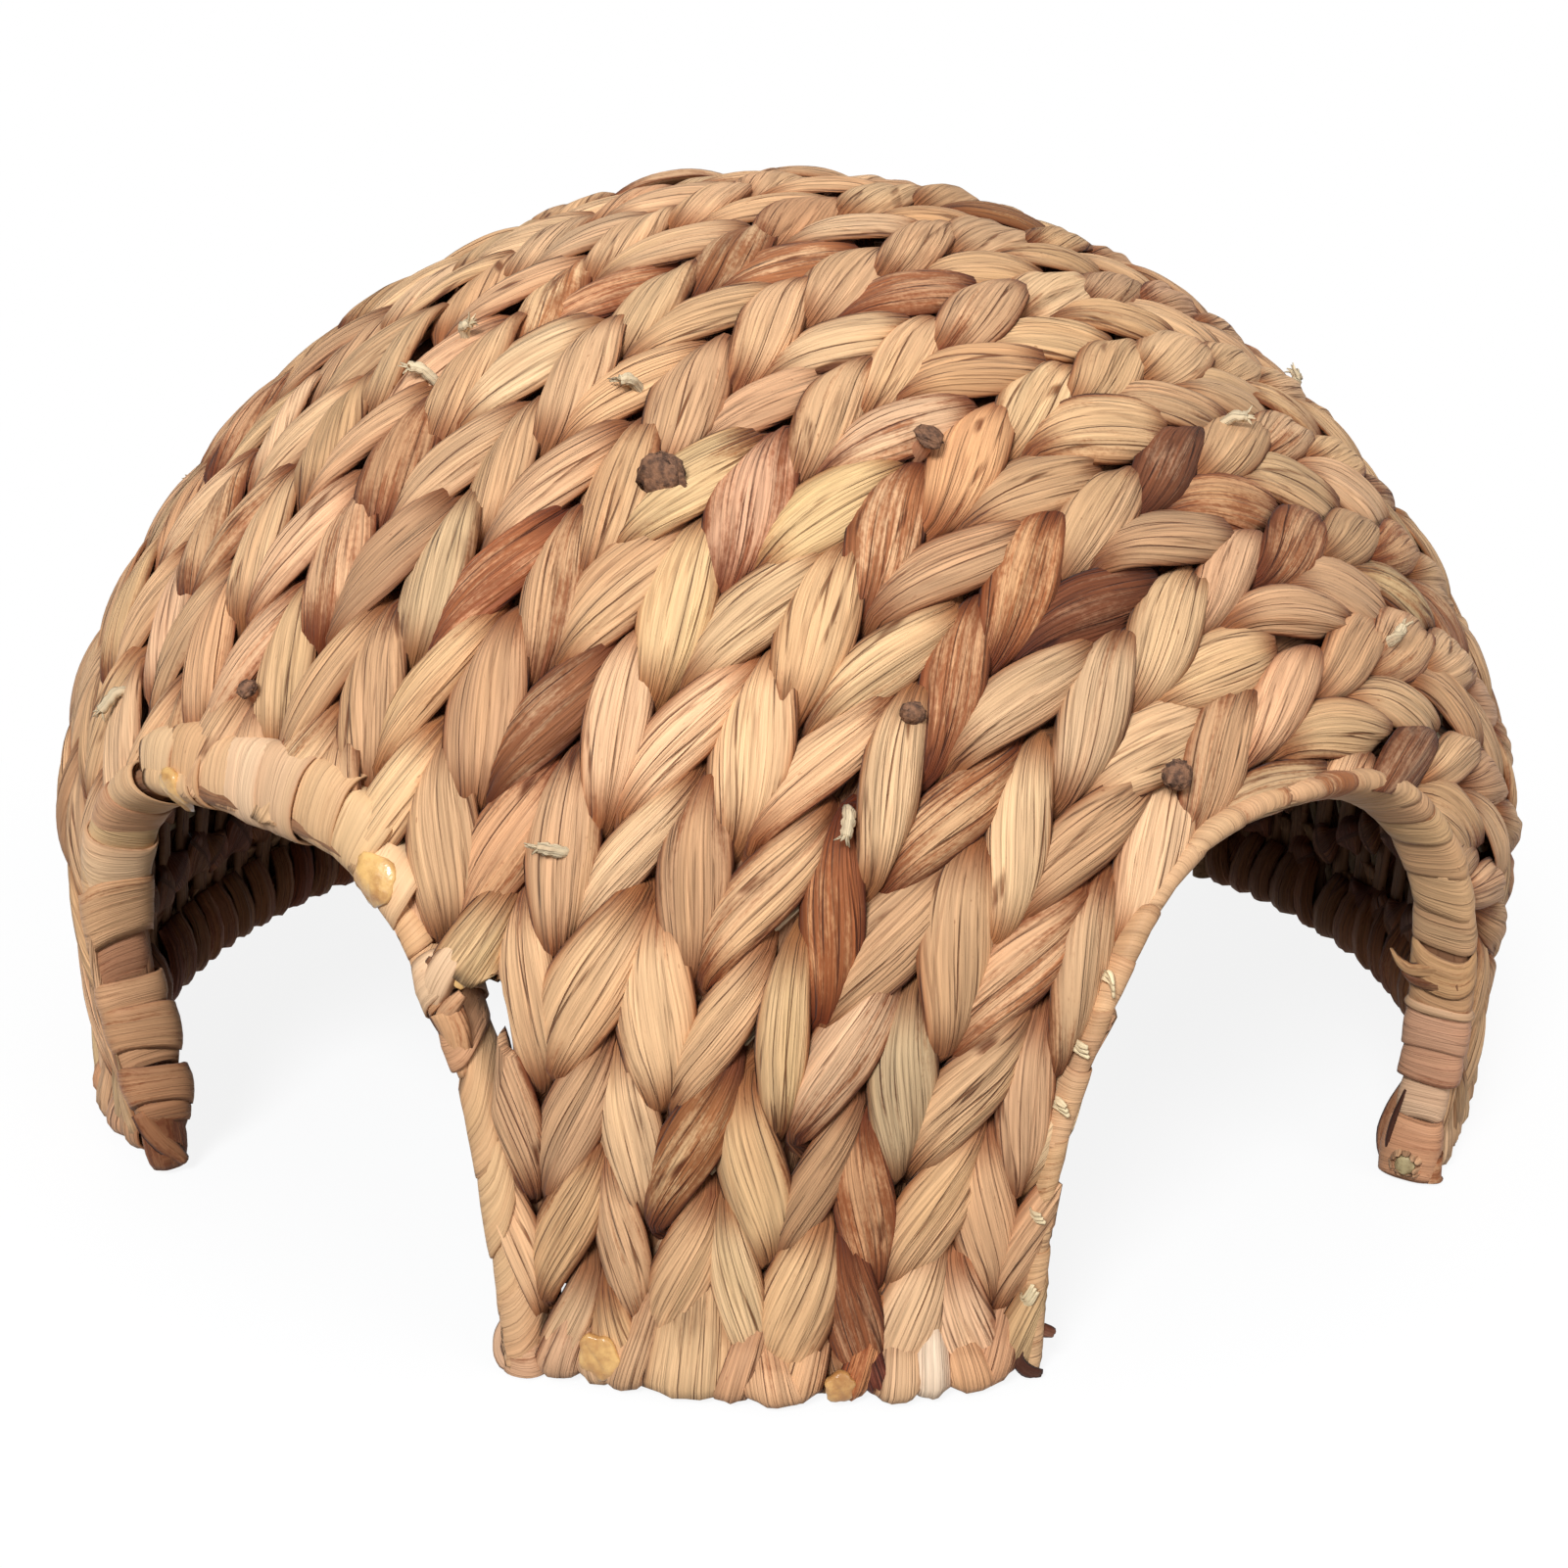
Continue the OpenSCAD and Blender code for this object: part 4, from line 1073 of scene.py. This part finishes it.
def cord(heap, bearing, z, lean, long):
    p, n, right, up = surface(bearing, z, 4.0)
    side = lean[0] * right + lean[1] * up
    e = p + unit(n + 0.3 * side) * 5.0
    f = unit(0.35 * n + side)
    tint = dyed(228, 208, 172, 0.05)
    spike(heap, [p, e, e + f * long * 0.5, e + f * long], [1.3, 1.3, 1.365, 1.17], tint, 10, 0.06, 1.4)
    end = e + f * long * 0.92
    for _ in range(5):
        w = unit(f + rng.normal(0, 0.45, 3))
        frayed = [end - f, end + w * 1.2, end + w * rng.uniform(2.0, 3.2)]
        spike(heap, frayed, [0.45, 0.35, 0.12], tint, 5, 0.1)


# Bearing, height, radius, lean right and up, length, width of the head over the stem's
STEMS = [
    (-9.6, 190, 2.7, (-0.2, -1.3), 5.5, 1.75), (12, 191, 2, (0.3, 0.1), 2.2, 1.5),
    (26, 129, 1.9, (-0.3, -0.2), 2.6, 1.5), (9, 147, 1.5, (-0.4, -0.8), 2.4, 1.5),
    (-40, 137, 1.5, (0.2, 0.3), 1.4, 1.3), (150, 176, 1.9, (0.4, -0.4), 3.2, 1.5),
    (-121, 205, 1.8, (-0.5, 0.1), 2.8, 1.5), (172, 94, 1.7, (0.2, 0.6), 2.6, 1.5),
]
# Bearing, height, lean right and up, length
CORDS = [
    (-15, 203, (-0.9, -0.6), 2.5), (-13, 117.5, (-1, 0.1), 4.6), (4, 127, (-0.2, -1), 5),
    (-41, 202, (-0.8, -0.3), 3.4), (-42, 210, (0.9, 0.3), 2.6), (-57, 129, (0.1, -1), 6),
    (52, 142, (0.7, 0.5), 3), (49, 191, (0.6, -0.5), 3), (-165, 187, (0.6, -0.8), 4),
    (118, 142, (-0.7, -0.5), 4), (88, 188, (0.4, 0.8), 3), (-96, 160, (0.8, -0.4), 3.6),
]
stems, heads, cords = Heap(), Heap(), Heap()
for one in STEMS:
    stem(stems, heads, *one)
for one in CORDS:
    cord(cords, *one)
stems.make("stem_ends", band_mat, "strand_ends")
heads.make("stem_heads", stub_mat, "strand_ends")
cords.make("cord_ends", cord_mat, "strand_ends")

# Cut rod end in the right toe
arch = arches["front_right"]
cut = Heap()
look = -arch.near("w", 0.955)
c = arch.points([ROD_END])[0]
spike(cut, [c - look * 3, c - look * 0.5, c + look * 0.7, c + look * 0.9], [2.5, 2.6, 2.5, 1.6],
      dyed(150, 140, 104, 0.2), 16)
cut.make("rod_end", cane_mat, "rim_binding_front_right", "cane")


# Dried glue, in thin uneven patches
def patch(heap, place, reach_right, reach_up, turn, rise):
    """place turns distances right, up and out into points."""
    al = circle(24)
    lobe, lobe2 = rng.uniform(0, 6.28, 2)
    edge = 1 + 0.10 * np.sin(2 * al + lobe) + 0.07 * np.sin(5 * al + lobe2) + 0.03 * rng.normal(0, 1, 24)
    co, si = math.cos(turn), math.sin(turn)
    x, y = np.cos(al) * reach_right * edge, np.sin(al) * reach_up * edge
    x, y = x * co - y * si, x * si + y * co
    rings = []
    for k, h in ((0.7, -3.0), (0.98, -1.0), (1.0, 0.1), (0.93, 0.45 * rise), (0.72, 0.75 * rise),
                 (0.4, rise), (0.12, rise * 1.04)):
        rings.append(place(x * k, y * k, h + 0.16 * np.sin(2.0 * x * k + 1.3 * y * k) * (k < 0.95)))
    put_tube(heap, ground(np.array(rings)), [0.8, 0.5, 0.2, 0.1])


def on_wall(bearing, z, depth):
    p, n, right, up = surface(bearing, z, depth)
    return lambda x, y, h: p + right * x[:, None] + up * y[:, None] + n * h[:, None]


def on_rim(arch, share, away):
    def place(x, y, h):
        face = np.interp(away + y, [-6, -4.5, -2.5, 0.5, 4.5, 11.5], [1.5, 4.5, 7.0, 8.5, 8.1, 6.6])
        return arch.point(share * arch.long + x, away + y, face + h)
    return place


glue = Heap()
left_arch = arches["front_left"]
patch(glue, on_rim(left_arch, 0.645, 1.2), 5.4, 5.2, 0.5, 0.8)
patch(glue, on_rim(left_arch, 0.440, -1.6), 3.8, 4.4, -0.3, 0.9)
patch(glue, on_wall(-11.2, 8.5, -0.9), 4.2, 5.6, 0.0, 0.8)
patch(glue, on_wall(3.3, 5.0, -2.4), 3.4, 3.2, 0.0, 0.8)
patch(glue, on_wall(-19.6, 92.0, 0.6), 2.4, 3.4, 0.5, 1.0)
glue.make("glue_patches", glue_mat, "glue_drops", "glue")


# Wires and rods: the construction's shapes, bent with the uneven dome so they stay inside rims and feet
def bent(node, material):
    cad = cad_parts[node]
    v = np.array([cad.matrix_world @ q.co for q in cad.data.vertices]) * 1000
    me = bpy.data.meshes.new(node + "_bent")
    me.from_pydata((shaped(v) * 0.001).tolist(), [], [tuple(f.vertices) for f in cad.data.polygons])
    dress(node + "_bent", me, material, node)


for n in OPEN:
    bent("arch_wire_" + n, wire_mat)
for n in ("front", "right", "left", "back"):
    bent("base_rod_" + n, cane_mat)

# Floor: white with a faint shadow where it is seen, dark where it only throws light back
scene = bpy.context.scene
floor_mat, g, bounce = new_material("pale_floor")
g.fill(bounce, Base_Color=(0.15, 0.125, 0.10, 1), Roughness=0.9)
path = g.node("LightPath")
emit = g.node("Emission", Color=(1, 1, 1, 1))
lit = g.node("BsdfDiffuse", Color=(1, 1, 1, 1))
away = g.node("VectorMath")
away.operation = "LENGTH"
g.put(away.inputs[0], g.node("TexCoord").outputs["Object"])


def mixed(factor, first, second):
    n = g.node("MixShader")
    for socket, value in zip(n.inputs, (factor, first.outputs[0], second.outputs[0])):
        g.put(socket, value)
    return n


seen = g.math("MAXIMUM", path.outputs["Is Camera Ray"], path.outputs["Is Glossy Ray"])
seen = g.math("MAXIMUM", seen, path.outputs["Is Transmission Ray"])
white = mixed(g.ramp(away.outputs["Value"], 0.20, 0.42, 0.88, 1.0), lit, emit)
out = [n for n in g.t.nodes if n.bl_idname == "ShaderNodeOutputMaterial"][0]
g.put(out.inputs[0], mixed(seen, bounce, white).outputs[0])
me = bpy.data.meshes.new("floor")
me.from_pydata([(-6, -6, -0.0005), (6, -6, -0.0005), (6, 6, -0.0005), (-6, 6, -0.0005)], [], [(0, 1, 2, 3)])
me.materials.append(floor_mat)
floor = bpy.data.objects.new("floor", me)
scene.collection.objects.link(floor)

# Light and camera
world = bpy.data.worlds.new("studio")
scene.world = world
world.use_nodes = True
g = Graph(world.node_tree)
sky = g.mix(g.node("LightPath").outputs["Is Camera Ray"], (0.23, 0.228, 0.225), (1.0, 1.0, 1.0))
g.node("OutputWorld", Surface=g.node("Background", Color=sky).outputs[0])


def area(name, place, aim, size, power, colour=(1, 1, 1)):
    d = bpy.data.lights.new(name, "AREA")
    d.shape = "DISK"
    d.size = size
    d.energy = power
    d.color = colour
    lamp = bpy.data.objects.new(name, d)
    lamp.location = place
    lamp.rotation_euler = (Vector(aim) - Vector(place)).to_track_quat("-Z", "Y").to_euler()
    scene.collection.objects.link(lamp)


area("key", (-0.45, -1.55, 1.25), (0, 0, 0.12), 0.7, 40.28, (0.9434, 0.9717, 1.0))
area("fill", (1.3, -1.3, 0.7), (0, 0, 0.1), 1.2, 9.2, (1.0, 0.975, 0.985))
area("top", (0.1, 0.2, 1.7), (0, 0, 0.1), 1.2, 5)

# The camera looks down by this angle, from this far, at a point this high on the dome's axis
TILT, DISTANCE, AIM = math.radians(17.8), 0.6, 0.072
cam = bpy.data.cameras.new("camera")
cam.lens = 47.02
cam.sensor_width = 36
camera = bpy.data.objects.new("camera", cam)
scene.collection.objects.link(camera)
camera.location = (0, -DISTANCE * math.cos(TILT), AIM + DISTANCE * math.sin(TILT))
camera.rotation_euler = (math.pi / 2 - TILT, 0, 0)
scene.camera = camera
scene.view_settings.view_transform = "Standard"
